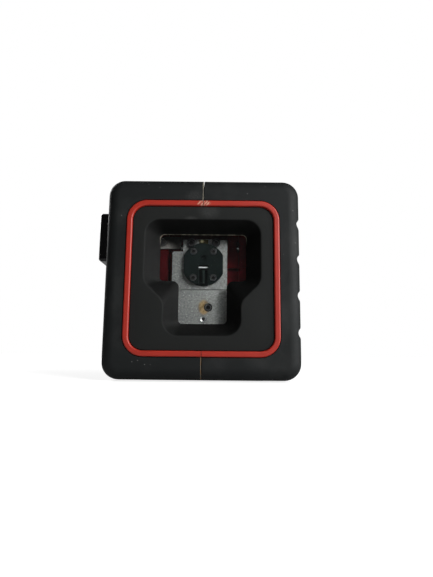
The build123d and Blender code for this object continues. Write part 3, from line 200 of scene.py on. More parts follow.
class Finish:
    """Node tree of one finish: a Principled shader whose patterns are read on Object coordinates."""

    def __init__(self, name):
        self.material = bpy.data.materials.new(name)
        self.material.use_nodes = True
        self.tree = self.material.node_tree
        self.shader = self.tree.nodes["Principled BSDF"]
        self.place = self.add("ShaderNodeTexCoord").outputs["Object"]

    def add(self, kind, inputs=None, **values):
        """New node with its own settings and with what goes into it, by name or number."""
        node = self.tree.nodes.new(kind)
        for key, value in values.items():
            setattr(node, key, value)
        for key, value in (inputs or {}).items():
            self.feed(node.inputs[key], value)
        return node

    def feed(self, socket, value):
        """Joins a socket to another, or sets it."""
        if isinstance(value, bpy.types.NodeSocket):
            self.tree.links.new(value, socket)
        else:
            socket.default_value = value

    def set(self, **values):
        """Sets the shader's sockets; an underscore stands for a blank."""
        for key, value in values.items():
            if not isinstance(value, (bpy.types.NodeSocket, float)):
                value = (*value, 1.0)
            self.feed(self.shader.inputs[key.replace("_", " ")], value)

    def moved(self, centre=(0.0, 0.0, 0.0), stretch=(1.0, 1.0, 1.0), lean=0.0):
        """Object coordinates about a centre, drawn out along axes that lean in the plane of the front."""
        inputs = {"Vector": self.place, "Location": centre, "Rotation": (0.0, lean, 0.0), "Scale": stretch}
        return self.add("ShaderNodeMapping", inputs, vector_type="TEXTURE").outputs["Vector"]

    def noise(self, size, detail=3.0, stretch=None, lean=0.0):
        """Cloudy pattern whose patches are about a size in millimetres."""
        place = self.moved(stretch=stretch, lean=lean) if stretch else self.place
        inputs = {"Vector": place, "Scale": 1.0 / (size * MM), "Detail": detail}
        return self.add("ShaderNodeTexNoise", inputs).outputs["Fac"]

    def cells(self, size):
        """Distance to scattered points that are about a size in millimetres apart."""
        inputs = {"Vector": self.place, "Scale": 1.0 / (size * MM)}
        return self.add("ShaderNodeTexVoronoi", inputs).outputs["Distance"]

    def ramp(self, source, low, high, start=0.0, end=1.0):
        """Carries a pattern from one range to another, smoothly and held at the ends."""
        inputs = {"Value": source, "From Min": low, "From Max": high, "To Min": start, "To Max": end}
        return self.add("ShaderNodeMapRange", inputs, interpolation_type="SMOOTHSTEP").outputs["Result"]

    def spread(self, noise, start=0.0, end=1.0):
        """Carries the middle of a noise's range to another range."""
        return self.ramp(noise, NOISE_LOW, NOISE_HIGH, start, end)

    def blend(self, share, start, end):
        """Goes from a start to an end with a share."""
        return self.ramp(share, 0.0, 1.0, start, end)

    def maths(self, operation, *numbers):
        """One sum on patterns or numbers."""
        return self.add("ShaderNodeMath", dict(enumerate(numbers)), operation=operation).outputs["Value"]

    def times(self, first, second):
        """Product of two patterns or numbers."""
        return self.maths("MULTIPLY", first, second)

    def axis(self, letter):
        """One coordinate of the place."""
        return self.add("ShaderNodeSeparateXYZ", {"Vector": self.place}).outputs[letter]

    def mark(self, name):
        """Values that a piece carries on its points, 0 on pieces without them."""
        return self.add("ShaderNodeAttribute", attribute_name=name).outputs["Fac"]

    def within(self, letter, centre, half):
        """1 where a coordinate is within a half width in millimetres of a centre, and 0 elsewhere."""
        return self.maths("COMPARE", self.axis(letter), centre, half * MM)

    def span(self, place):
        """Distance from the origin."""
        return self.add("ShaderNodeVectorMath", {0: place}, operation="LENGTH").outputs["Value"]

    def near(self, centre, reach):
        """Soft patch that is 1 at a centre and 0 at its reach along each axis."""
        return self.ramp(self.span(self.moved(centre, reach)), PATCH_CORE, 1.0, 1.0, 0.0)

    def patch(self, name):
        """Soft patch of the table at the front of its node."""
        node, (right, above), reach = PATCHES[name]
        low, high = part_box(node)
        return self.near((right * MM, low.y, high.z + above * MM), [part * MM for part in reach])

    def mix(self, factor, first, second):
        """Blend of two colours by a pattern."""
        first, second = (value if isinstance(value, bpy.types.NodeSocket) else (*value, 1.0)
                         for value in (first, second))
        inputs = {"Factor": factor, 6: first, 7: second}
        return self.add("ShaderNodeMix", inputs, data_type="RGBA").outputs[2]

    def bump(self, height, depth):
        """Relief of a pattern, as deep as a length in millimetres."""
        node = self.add("ShaderNodeBump", {"Height": height, "Distance": depth * MM})
        self.feed(self.shader.inputs["Normal"], node.outputs["Normal"])

    def vary(self, pattern, tone, dark, light):
        """Tone that goes from one share of itself to another with a pattern."""
        return self.mix(pattern, shade(tone, dark), shade(tone, light))

    def done(self, base, grain, rough, depth, sheen=0.5, **others):
        """Sets a colour and a sheen, and a roughness and a relief that follow a grain."""
        self.set(Base_Color=base, Roughness=self.spread(grain, *rough), Specular_IOR_Level=sheen, **others)
        self.bump(grain, depth)


def shade(tone, share):
    """Colour made lighter or darker by a share."""
    return tuple(min(1.0, part * share) for part in tone)


def rubber_finish(look):
    """Soft black rubber: fine grain, clouds and specks of dust, a scuff above the ring, dull sheen."""
    tone, dust = colours().rubber, colours().rubber_dust
    grain = look.noise(0.45, detail=4.0)
    clouds = look.ramp(look.noise(22, detail=5.0), 0.48, 0.75)
    specks = look.ramp(look.cells(3.5), 0.05, 0.09, 1.0, 0.0)
    specks = look.times(specks, look.ramp(look.noise(9, detail=2.0), 0.52, 0.6))
    scuff = look.times(look.patch("scuff"), look.ramp(grain, 0.35, 0.65))
    base = look.vary(grain, tone, 0.7, 1.35)
    for cover, share, dirt in ((clouds, 0.28, dust), (specks, 0.6, shade(dust, 3.0)), (scuff, 0.5, dust)):
        base = look.mix(look.times(cover, share), base, dirt)
    look.done(base, grain, rough=(0.52, 0.72), depth=0.03, sheen=0.2)


def ring_finish(look):
    """Red rubber with pale slanting scratches where the two halves meet at the top."""
    tone = colours().red
    hairs = look.noise(0.55, detail=2.0, stretch=(1.0, 1.0, 9.0), lean=SCRATCH_LEAN)
    chips = look.ramp(look.times(hairs, look.patch("chips")), 0.40, 0.58)
    base = look.vary(look.noise(6, detail=4.0), tone, 0.86, 1.08)
    base = look.mix(chips, base, colours().chip)
    base = look.mix(look.within("X", 0.0, 0.16), base, shade(tone, 0.12))
    look.done(base, look.noise(0.35), rough=(0.32, 0.5), depth=0.02)


def bezel_finish(look):
    """Spark-textured dark plastic: dusty below the ring's top, with painted shade in the recess, pale at
    the window.
    """
    tone = colours().bezel
    face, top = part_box("front_bezel")[0].y, sizes().throat_top
    grain = look.noise(0.3, detail=4.0)
    dust = look.maths("MAXIMUM", look.patch("dust"), look.patch("smear"))
    dust = look.times(dust, look.ramp(grain, 0.2, 0.7))
    edge = look.within("Y", face + sizes().recess_depth, 0.6)
    edge = look.times(edge, look.ramp(look.axis("Z"), top - 6 * MM, top))
    edge = look.times(edge, look.ramp(look.noise(1.6), 0.32, 0.68, 0.3, 1.0))
    # Painted shade: everything behind the bezel's face, in the recess, is darkened
    painted_recess_shade = look.ramp(look.axis("Y"), face + 0.02 * MM, face + 0.3 * MM)
    base = look.vary(grain, tone, 0.75, 1.3)
    base = look.mix(look.times(dust, 0.35), base, shade(colours().rubber_dust, 1.4))
    base = look.mix(painted_recess_shade, base, shade(tone, 0.28))
    base = look.mix(look.times(edge, 0.6), base, shade(colours().seam, 1.2))
    look.done(base, grain, rough=(0.5, 0.68), depth=0.018, sheen=0.11)


def plastic_finish(look, tone, rough=(0.42, 0.6), sheen=0.35):
    """Moulded plastic of one tone, with a fine spark texture."""
    base = look.vary(look.noise(14), tone, 0.85, 1.15)
    look.done(base, look.noise(0.4, detail=4.0), rough, 0.015, sheen)


def gloss_finish(look, tone):
    """Glossy plastic with faint hairline scratches."""
    hairs = look.ramp(look.noise(0.5, detail=2.0, stretch=(1.0, 1.0, 18.0)), 0.55, 0.75)
    base = look.vary(look.noise(9), tone, 0.9, 1.15)
    rough = look.maths("ADD", look.times(hairs, 0.12), 0.16)
    look.set(Base_Color=base, Roughness=rough, Specular_IOR_Level=0.5)
    look.bump(hairs, 0.004)


def metal_finish(look, tone, rough, size=0.6, depth=0.01):
    """Bare metal whose grain has a size and a depth in millimetres, dull and dark where the piece's points
    carry black: the piece's own black, and painted shade in hollows."""
    grain, soot = look.noise(size), look.mark("soot")
    base = look.mix(soot, look.vary(grain, tone, 0.78, 1.15), NEAR_BLACK)
    look.done(base, grain, rough, depth, sheen=0.2, Metallic=look.blend(soot, 1.0, 0.0))


def brass_finish(look):
    """Turned brass; the roll pin's front end is darker, apart from a painted highlight spot near its
    middle.
    """
    grain = look.noise(0.12)
    front = look.within("Y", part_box("roll_pin")[0].y, 0.3)
    base = look.mix(grain, (0.58, 0.45, 0.19), (0.85, 0.67, 0.28))
    # Painted highlight: a pale spot on the darker front end of the roll pin
    end = look.mix(look.patch("painted_glint"), (0.075, 0.064, 0.022), (0.80, 0.72, 0.42))
    look.done(look.mix(front, base, end), grain, rough=(0.3, 0.42), depth=0.003, sheen=0.2,
              Metallic=look.blend(front, 1.0, 0.3))


def barrel_finish(look):
    """Brass barrel of the laser, blackened at its front."""
    lines = look.noise(0.2, detail=2.0, stretch=(8.0, 1.0, 8.0))
    front = look.within("Y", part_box("laser_barrel")[0].y, 0.2)
    base = look.mix(front, look.mix(lines, (0.62, 0.48, 0.19), (0.74, 0.59, 0.25)), NEAR_BLACK)
    look.done(base, lines, rough=(0.22, 0.36), depth=0.01, Metallic=look.blend(front, 1.0, 0.0))


def casting_finish(look):
    """Shot-blasted casting: bright and dark grains next to each other, painted glints, and painted light
    that makes it lighter to the right.
    """
    tone = colours().silver
    grain = look.noise(0.9, detail=4.0)
    # Painted glints: scattered spots of brighter colour
    painted_glints = look.ramp(look.cells(1.6), 0.12, 0.24, 1.0, 0.0)
    # Painted light: the colour grows lighter towards the right
    side = look.ramp(look.axis("X"), -15 * MM, 13 * MM)
    dark, light = (look.vary(side, tone, 0.76 * share, 1.24 * share)
                   for share in (0.72, 1.26))
    base = look.mix(look.spread(grain), dark, light)
    base = look.mix(look.times(painted_glints, 0.4), base, shade(tone, 2.4))
    look.done(base, grain, rough=(0.42, 0.62), depth=0.06, Metallic=0.35)


def paint_finish(look):
    """Dark red paint with a slight orange-peel, with painted light that makes it lighter towards the right
    and low down there.
    """
    tone = colours().paint
    peel = look.noise(1.2, detail=2.0)
    # Painted light: lighter towards the right, and on the right lighter still low down
    side = look.ramp(look.axis("X"), -14 * MM, 16 * MM)
    painted_light_low = look.ramp(look.axis("Z"), 64 * MM, 57 * MM)
    base = look.mix(side, shade(tone, 0.7), look.mix(painted_light_low, shade(tone, 1.4), shade(tone, 3.0)))
    base = look.mix(look.ramp(look.noise(8), 0.35, 0.65, 0.0, 0.3), base, shade(tone, 0.4))
    look.done(base, peel, rough=(0.45, 0.6), depth=0.02, sheen=0.04)


def stop_finish(look):
    """Steel plate, dark in itself and partly as painted shade, with a painted pool of light along its lower
    edge.
    """
    low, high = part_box("swing_stop")
    grain = look.noise(0.6)
    # Painted light: a soft bright patch at the lower edge
    painted_light_patch = look.near((high.x - 10 * MM, low.y, low.z), (9 * MM, 20 * MM, 5.5 * MM))
    base = look.mix(painted_light_patch, (0.040, 0.037, 0.034), (0.44, 0.42, 0.40))
    base = look.mix(look.spread(grain, 0.0, 0.25), base, NEAR_BLACK)
    look.done(base, grain, rough=(0.4, 0.6), depth=0.01, Metallic=1.0)


def glass_finish(look, tone, rough=(0.0, 0.03)):
    """Clear glass or plastic that lamps pass through."""
    smear = look.ramp(look.noise(7, detail=4.0), 0.45, 0.75, *rough)
    look.set(Base_Color=tone, Transmission_Weight=1.0, IOR=GLASS_IOR, Roughness=smear)
    rays = look.add("ShaderNodeLightPath").outputs["Is Shadow Ray"]
    clear = look.add("ShaderNodeBsdfTransparent").outputs["BSDF"]
    mix = look.add("ShaderNodeMixShader", {0: rays, 1: look.shader.outputs["BSDF"], 2: clear})
    look.feed(look.tree.nodes["Material Output"].inputs["Surface"], mix.outputs["Shader"])


def board_finish(look):
    """Green solder mask with copper tracks that shine through."""
    tracks = look.ramp(look.noise(1.6, detail=0.0, stretch=(1.0, 1.0, 4.0)), 0.50, 0.53)
    base = look.mix(tracks, (0.010, 0.075, 0.032), (0.020, 0.14, 0.055))
    look.set(Base_Color=base, Roughness=look.blend(tracks, 0.32, 0.26))
    look.bump(tracks, 0.03)


def lens_finish(look):
    """Glass rods: the lying one carries a painted highlight band, the upright one is painted the dark green
    of the channel behind it.
    """
    # Painted highlight: a pale band along the lying rod; the rest is painted dark
    bright = look.within("Z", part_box("rod_lenses")[1].z - 0.75 * MM, 0.3)
    streak = look.noise(0.6, detail=2.0, stretch=(6.0, 1.0, 1.0))
    base = look.mix(streak, (0.55, 0.57, 0.58), (0.74, 0.76, 0.76))
    look.set(Base_Color=look.mix(bright, (0.008, 0.0135, 0.0125), base),
             Roughness=look.blend(bright, 0.6, look.spread(streak, 0.08, 0.2)),
             Specular_IOR_Level=look.blend(bright, 0.06, 0.5), Coat_Weight=look.blend(bright, 0.0, 0.5))


def button_finish(look):
    """Grey rubber keys with pale printed marks: crossed lines on one, three bars on the other."""
    mark = 0.0
    for node, bars in KEY_MARKS.items():
        low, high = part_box(node)
        middle = (low + high) / 2
        top = look.within("Z", high.z, 0.1)
        for shift, half_x, half_y in bars:
            bar = look.times(look.within("X", middle.x + shift * MM, half_x),
                             look.within("Y", middle.y, half_y))
            mark = look.maths("MAXIMUM", mark, look.times(bar, top))
    grain = look.noise(0.4, detail=4.0)
    base = look.mix(grain, (0.040, 0.042, 0.044), (0.066, 0.068, 0.071))
    base = look.mix(mark, base, (0.62, 0.63, 0.62))
    look.done(base, grain, rough=(0.5, 0.7), depth=0.02, sheen=0.3)


def cell_finish(look):
    """Battery can: dark sleeve, a pale band near one end and bare metal at both ends."""
    low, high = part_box("battery_cells")
    level = look.axis("Z")
    scuffs = look.noise(1.5, detail=4.0, stretch=(1.0, 1.0, 5.0))
    sleeve = look.mix(scuffs, (0.020, 0.024, 0.030), (0.034, 0.038, 0.046))
    sleeve = look.mix(look.within("Z", high.z - 10 * MM, 4), sleeve, (0.48, 0.36, 0.13))
    bare = look.maths("MAXIMUM", look.ramp(level, low.z + 2.0 * MM, low.z + 1.8 * MM),
                      look.ramp(level, high.z - 2.6 * MM, high.z - 2.4 * MM))
    look.set(Base_Color=look.mix(bare, sleeve, (0.58, 0.58, 0.57)), Metallic=bare,
             Roughness=look.spread(scuffs, 0.25, 0.4))


def glue_finish(look):
    """Cured lacquer: browner at the screw, thin at its rim, where the casting shows through."""
    tone = colours().glue
    flow = look.noise(1.5)
    low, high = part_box("calibration_screw")
    core = look.near((low + high) / 2, (4.2 * MM, 8 * MM, 4.6 * MM))
    base = look.vary(look.spread(flow), tone, 0.75, 1.2)
    base = look.mix(core, base, (0.15, 0.115, 0.078))
    low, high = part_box("sealing_glue")
    half_x, half_z = 3.2 * MM, (high.z - low.z) / 2
    thick = look.near((low.x + half_x, low.y, low.z + half_z), (half_x, 5 * MM, half_z))
    thick = look.times(thick, look.spread(flow, 0.6, 1.4))
    cover = look.times(look.ramp(thick, 0.0, 0.08), look.ramp(thick, 0.0, 0.5, 0.5, 1.0))
    base = look.mix(cover, shade(colours().silver, 0.85), base)
    look.done(base, flow, rough=(0.2, 0.4), depth=0.08, Coat_Weight=0.4)


def seam_finish(look):
    """Tongue in the seam, its pale partly a painted highlight of the seam's lit edge: pale at the top,
    browner towards the base.
    """
    tone = colours().seam
    base = look.mix(look.ramp(look.axis("Z"), 20 * MM, 80 * MM), (0.20, 0.105, 0.035), tone)
    base = look.mix(look.ramp(look.noise(2, detail=4.0), 0.35, 0.65), shade(tone, 0.4), base)
    look.set(Base_Color=base, Roughness=0.6)


# Finish of each slot, with its tone and what else it takes
FINISHES = {
    "black_rubber": (rubber_finish,),
    "shell_plastic": (plastic_finish, (0.011, 0.012, 0.0125)),
    "red_rubber": (ring_finish,),
    "bezel_plastic": (bezel_finish,),
    "clear_pane": (glass_finish, (0.96, 0.98, 0.97)),
    "seal_rubber": (plastic_finish, (0.012, 0.012, 0.012), (0.6, 0.8)),
    "base_plastic": (plastic_finish, (0.016, 0.0175, 0.018)),
    "brass": (brass_finish,),
    "zinc_steel": (metal_finish, (0.22, 0.22, 0.22), (0.3, 0.45)),
    "black_steel": (metal_finish, (0.125, 0.128, 0.132), (0.28, 0.45), 0.4),
    "red_paint": (paint_finish,),
    "nickel": (metal_finish, (0.80, 0.80, 0.81), (0.22, 0.34), 0.3, 0.004),
    "zinc_plate": (stop_finish,),
    "bearing_steel": (metal_finish, (0.60, 0.61, 0.62), (0.14, 0.28)),
    "guide_plastic": (plastic_finish, (0.030, 0.032, 0.033)),
    "keypad_plastic": (plastic_finish, (0.026, 0.028, 0.029)),
    "component_black": (plastic_finish, (0.014, 0.014, 0.015)),
    "board_green": (board_finish,),
    "light_clear": (glass_finish, (0.90, 0.95, 0.90), (0.1, 0.3)),
    "plug_plastic": (plastic_finish, (0.62, 0.60, 0.52)),
    "ribbon_white": (plastic_finish, (0.60, 0.60, 0.58), (0.3, 0.4)),
    "lead_red": (plastic_finish, (0.42, 0.02, 0.02), (0.3, 0.45)),
    "tray_plastic": (plastic_finish, (0.018, 0.018, 0.019)),
    "cell_can": (cell_finish,),
    "contact_steel": (metal_finish, (0.62, 0.62, 0.60), (0.2, 0.34)),
    "silver_casting": (casting_finish,),
    "black_anodised": (plastic_finish, (0.0030, 0.0066, 0.0062), (0.5, 0.66), 0.07),
    "lens_glass": (lens_finish,),
    "gilt": (metal_finish, (0.75, 0.58, 0.25), (0.15, 0.25)),
    "amber_glue": (glue_finish,),
    "copper": (metal_finish, (0.62, 0.30, 0.18), (0.3, 0.5)),
    "gloss_black": (gloss_finish, (0.006, 0.006, 0.0065)),
    "button_rubber": (button_finish,),
}


def painted(name, paint, *values):
    """Material that a finish paints once, with its values."""
    material = bpy.data.materials.get(name)
    if material is None:
        look = Finish(name)
        paint(look, *values)
        material = look.material
    return material


def finish(slot):
    """Material of a slot."""
    return painted("level_" + slot, *FINISHES[slot])


# Surfaces

# Angle from which an edge is sharp, and lengths at which points merge and edges vanish
SHARP_DEGREES, BEZEL_SHARP_DEGREES = 35.0, 40.0
MERGE_WITHIN, SLIVER = 1e-7, 1e-8
# Share of the window seat that the throat's round takes up
THROAT_TURN = 0.3
# Shares of a head's radius, or of its length for the depth
SOCKET_WIDTH, SOCKET_DEPTH, HEAD_EDGE = 0.58, 0.8, 0.14
SCREW_POINTS, SCREW_TURN = 48, 0.4
# Black of each row of a screw's profile, from the socket's middle outwards and to the end: the screws' own
# black, and painted shade in the sockets
SOCKET_BLACK_AND_SHADE = [1.0, 1.0, 0.85, 0.5, 0.35, 0.6, 0.6, 0.6, 0.6]
PLATE_BLACK_AND_SHADE = [1.0, 1.0, 0.95, 0.85, 0.4, 0.9, 0.9, 0.9, 0.9]
SET_BLACK_AND_SHADE = [1.0, 1.0, 0.2, 0.97, 1.0, 1.0, 1.0]
FORWARD, LEFTWARD = (0, -1, 0), (-1, 0, 0)
# Screws: node, size of the head, head length and shank radius in millimetres, way out, body, black and
# painted shade of each row
SCREWS = [
    ("cap_screws", "cap_head", 1.1, 0.9, FORWARD, "pendulum", SOCKET_BLACK_AND_SHADE),
    ("plate_screws", "plate_head", 1.8, 1.25, FORWARD, "pendulum", PLATE_BLACK_AND_SHADE),
    ("case_screws", "case_head", 2.0, 1.5, LEFTWARD, "housing", SOCKET_BLACK_AND_SHADE),
]
# Set screw: depth of its socket, chamfer, share of its flat face, turn of its hexagon
SET_DEPTH, SET_EDGE, SET_FACE, SET_TURN = 2.4 * MM, 0.3 * MM, 0.86, 0.3
# Balance pin: its bowl and chamfer, shares of bowl and face, painted shade in the middle of its hollow and
# its fall
PIN_POINTS, PIN_ROWS, PIN_DEPTH, PIN_EDGE = 40, 9, 0.38 * MM, 0.12 * MM
PIN_BOWL, PIN_FACE, PIN_SHADE, PIN_SHADE_FALL = 0.84, 0.93, 3.9, 4.8
# Ribs: depth of the root, and shares by which the top draws in and the ends are round
RIB_ROWS, RIB_ROOT, RIB_DRAW, RIB_ROUND = 6, 0.2 * MM, 0.6, 0.98


def unit(vectors):
    """Vectors made one long."""
    return vectors / np.linalg.norm(vectors, axis=-1, keepdims=True)


def placed(name, data):
    """New object in the scene."""
    thing = bpy.data.objects.new(name, data)
    bpy.context.scene.collection.objects.link(thing)
    return thing


def facets(rows, columns, start):
    """Quads of a grid whose columns run round, as an array of corner numbers."""
    row = np.arange(rows - 1)[:, None] * columns
    here = np.arange(columns)[None, :]
    after = (here + 1) % columns
    quads = np.stack([row + here, row + after, row + columns + after, row + columns + here], axis=-1)
    return start + quads.reshape(-1, 4)


def solid_of(name, grids, slot, body, *replaced, sharp=SHARP_DEGREES, soot=None):
    """Closed piece from grids of loops (rows, points, 3): loops joined in order, ends capped.
    The black-and-shade shares give each row of every grid its share of dark: a piece's own black, and
    painted shade in hollows."""
    points = []
    faces = []
    count = 0
    for grid in grids:
        rows, columns = grid.shape[:2]
        points.append(grid.reshape(-1, 3))
        faces += facets(rows, columns, count).tolist()
        faces.append(np.arange(count, count + columns)[::-1].tolist())
        faces.append(np.arange(count + (rows - 1) * columns, count + rows * columns).tolist())
        count += rows * columns
    marks = None if soot is None else np.concatenate([np.repeat(soot, grid.shape[1]) for grid in grids])
    return piece_of(name, np.concatenate(points), faces, slot, body, replaced, sharp, marks)


def piece_of(name, points, faces, slot, body, replaced, sharp, marks=None):
    """Mesh object with doubles merged, faces outwards, its finish and the body that carries it."""
    mesh = bpy.data.meshes.new(name)
    mesh.from_pydata(points.tolist(), [], faces)
    if marks is not None:
        mesh.attributes.new("soot", "FLOAT", "POINT").data.foreach_set("value", marks)
    work = bmesh.new()
    work.from_mesh(mesh)
    bmesh.ops.remove_doubles(work, verts=work.verts, dist=MERGE_WITHIN)
    bmesh.ops.dissolve_degenerate(work, edges=work.edges, dist=SLIVER)
    bmesh.ops.recalc_face_normals(work, faces=work.faces)
    work.to_mesh(mesh)
    work.free()
    mesh.polygons.foreach_set("use_smooth", np.ones(len(mesh.polygons), bool))
    mesh.set_sharp_from_angle(angle=math.radians(sharp))
    mesh.materials.append(finish(slot))
    piece = placed(name, mesh)
    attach(piece, body)
    if replaced:
        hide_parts(*replaced)
    return piece


def rounded_loop(corners, radii, arc_points=9, run_points=10):
    """Closed outline (points, 2): each corner is an arc tangent to its two sides, and the
    straight runs between arcs are divided evenly."""
    corners = np.asarray(corners, float)
    radii = np.asarray(radii, float)[:, None]
    back = unit(np.roll(corners, 1, axis=0) - corners)
    ahead = unit(np.roll(corners, -1, axis=0) - corners)
    half_angle = np.arccos(np.clip((back * ahead).sum(axis=1, keepdims=True), -1, 1)) / 2
    centre = corners + unit(back + ahead) * radii / np.sin(half_angle)
    first = corners + back * radii / np.tan(half_angle) - centre
    last = corners + ahead * radii / np.tan(half_angle) - centre
    sweep = (math.pi - 2 * half_angle)[:, :, None]
    share = np.linspace(0, 1, arc_points)[None, :, None]
    arc = first[:, None] * np.sin((1 - share) * sweep) + last[:, None] * np.sin(share * sweep)
    arc = centre[:, None] + arc / np.sin(sweep)
    ends = np.roll(arc[:, 0], -1, axis=0)
    share = np.linspace(0, 1, run_points + 2)[None, 1:-1, None]
    runs = arc[:, -1][:, None] * (1 - share) + ends[:, None] * share
    return np.concatenate([arc, runs], axis=1).reshape(-1, 2)


def tee_loop(top_half, foot_half, top, shoulder, foot_start, bottom, corner, bend):
    """T-shaped outline whose outer corners have one round and whose inner bends another."""
    right = [(top_half, top), (top_half, shoulder), (foot_half, foot_start), (foot_half, bottom)]
    left = [(-x, z) for x, z in reversed(right)]
    return rounded_loop(right + left, [corner, corner, bend, corner, corner, bend, corner, corner])


def framed(loop, low, high, corner, inset):
    """Rounded rectangle between two corners of a box, drawn in by an inset and sampled on the rays
    from its middle through the points of another loop."""
    x, z = high.x - inset, (low.z + inset, high.z - inset)
    outline = rounded_loop([(x, z[1]), (x, z[0]), (-x, z[0]), (-x, z[1])], [corner - inset] * 4,
                           arc_points=60, run_points=80)
    middle = np.array([0.0, (low.z + high.z) / 2])
    turn = np.arctan2(*(outline - middle).T[::-1])
    wanted = np.arctan2(*(loop - middle).T[::-1])
    order = np.argsort(turn)
    return np.stack([np.interp(wanted, turn[order], outline[order, axis], period=2 * math.pi)
                     for axis in (0, 1)], axis=1)


def at_depth(loop, depth):
    """Loop in X and Z put at a depth along Y."""
    return np.stack([loop[:, 0], np.full(len(loop), depth), loop[:, 1]], axis=1)


def eased(first, corner, last, count):
    """Loops from one to another along a parabola whose two ends aim at the corner loop."""
    share = np.linspace(0, 1, count)[:, None, None]
    return (1 - share) ** 2 * first + 2 * share * (1 - share) * corner + share ** 2 * last


def bezel_grid():
    """Bezel as loops carried through a closed profile: skirt, rounded outer edge, face, rounded lip,
    flared wall, rounded throat, window seat, and back along the funnel's outside."""
    size = sizes()
    ring_low, ring_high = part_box("right_ring")
    low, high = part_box("front_bezel")
    band = size.bezel_gap + size.ring_band
    low = Vector((0, low.y, ring_low.z + band))
    high = Vector((ring_high.x - band, high.y, ring_high.z - band))
    face = low.y
    seat = face + size.recess_depth
    shoulder = size.throat_shoulder - size.flare_shoulder
    throat = (size.throat_top_half, size.throat_foot_half, size.throat_top, size.throat_shoulder,
              size.throat_shoulder, size.throat_bottom)
    mouth = (size.throat_top_half + size.flare_side, size.throat_foot_half + size.flare_side,
             size.throat_top + size.flare_top, shoulder, shoulder - size.shoulder_slant,
             size.throat_bottom - size.flare_bottom)
    inner = at_depth(tee_loop(*throat, size.throat_round, size.throat_bend), seat)
    outer = at_depth(tee_loop(*mouth, size.mouth_round, size.mouth_round), face)
    grow = np.array([1, 1, 1, -1, -1, -1]) * size.wall
    inner_back = at_depth(tee_loop(*(throat + grow), size.throat_round + size.wall,
                                   size.throat_bend - size.wall), seat)
    outer_back = at_depth(tee_loop(*(mouth + grow), size.mouth_round + size.wall,
                                   size.mouth_round - size.wall), face + size.wall)
    fall = unit(inner - outer)
    away = unit((outer - inner) * (1, 0, 1))
    loop = outer[:, [0, 2]]

    def rim(inset, depth):
        return at_depth(framed(loop, low, high, size.ring_corner, inset), depth)

    edge = size.face_edge
    skirt_back = face + size.skirt_depth
    front_edge = eased(rim(0, face + edge), rim(0, face), rim(edge, face), count=5)
    lip = eased(outer + away * size.lip, outer, outer + fall * size.lip, count=9)
    throat_edge = eased(inner - fall * size.throat_edge, inner,
                        inner + (inner_back - inner) * THROAT_TURN, count=4)
    loops = [rim(0, skirt_back)[None], front_edge, lip, throat_edge, inner_back[None], outer_back[None],
             rim(size.wall, face + size.wall)[None], rim(size.wall, skirt_back)[None],
             rim(0, skirt_back)[None]]
    return np.concatenate(loops)


def turned(profile, points, place, axis, hexagon=0.0):
    """Loops turned about an axis through a place: each row of the profile is (radius, level along
    the axis, 1 where the loop is a hexagon and not a circle)."""
    profile = np.asarray(profile, float)
    turn = np.linspace(0, 2 * math.pi, points, endpoint=False)
    sector = math.pi / 3
    hexa = math.cos(sector / 2) / np.cos((turn + hexagon) % sector - sector / 2)
    swell = 1 + profile[:, 2:3] * (hexa[None] - 1)
    radius = profile[:, 0:1] * swell
    local = np.stack([radius * np.cos(turn), radius * np.sin(turn),
                      np.repeat(profile[:, 1:2], points, axis=1)], axis=-1)
    aim = np.array(Vector(axis).to_track_quat("Z", "Y").to_matrix())
    return local @ aim.T + np.asarray(place)


def front_end(node):
    """Middle of a round node's front end, its radius, and the level of its back end."""
    low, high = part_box(node)
    middle = (low + high) / 2
    return (middle.x, low.y, middle.z), (high.x - low.x) / 2, low.y - high.y


def socket_screw(head, head_length, shank, end, place, axis, turn):
    """Screw whose head's outer face is at the place: socket floor, hexagon wall, chamfered head, shank."""
    socket = head * SOCKET_WIDTH
    depth = head_length * SOCKET_DEPTH
    edge = head * HEAD_EDGE
    rows = [(0, -depth, 1), (socket, -depth, 1), (socket, 0, 1), (head - edge, 0, 0), (head, -edge, 0),
            (head, -head_length, 0), (shank, -head_length, 0), (shank, -end, 0), (0, -end, 0)]
    return turned(rows, SCREW_POINTS, place, axis, turn)


def spots_in(node, radius, across):
    """Places of round heads whose outer edges touch a node's box on two axes: both ends of an axis, or
    its middle where the box is only as wide as one head."""
    low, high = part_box(node)
    ends = []
    for axis in across:
        first, last = low[axis] + radius, high[axis] - radius
        ends.append([first, last] if last - first > radius else [(first + last) / 2])
    return [(a, b) for a in ends[0] for b in ends[1]]


def swept(path, normals, section):
    """Closed section (points, 2) carried along a path in the middle plane: its first value is along X,
    its second along the path's normal."""
    grid = path[:, None] + section[None, :, 1:2] * normals[:, None]
    x = np.broadcast_to(section[None, :, 0], grid.shape[:2])
    return np.concatenate([x[..., None], grid], axis=-1)


def round_the_edge(start, corner, end, radius, count=14):
    """Path and normals in Y and Z from a start round one corner to an end."""
    start, corner, end = (np.asarray(point, float) for point in (start, corner, end))
    back, ahead = unit(start - corner), unit(end - corner)
    centre = corner + (back + ahead) * radius
    share = np.linspace(0, math.pi / 2, count)[:, None]
    arc_normals = -ahead * np.cos(share) - back * np.sin(share)
    path = np.concatenate([start[None], centre + arc_normals * radius, end[None]])
    normals = np.concatenate([arc_normals[:1], arc_normals, arc_normals[-1:]])
    return path, normals


def spaced(start, end, count):
    """Middles of equal shares of a span."""
    return start + (np.arange(count) + 0.5) * (end - start) / count


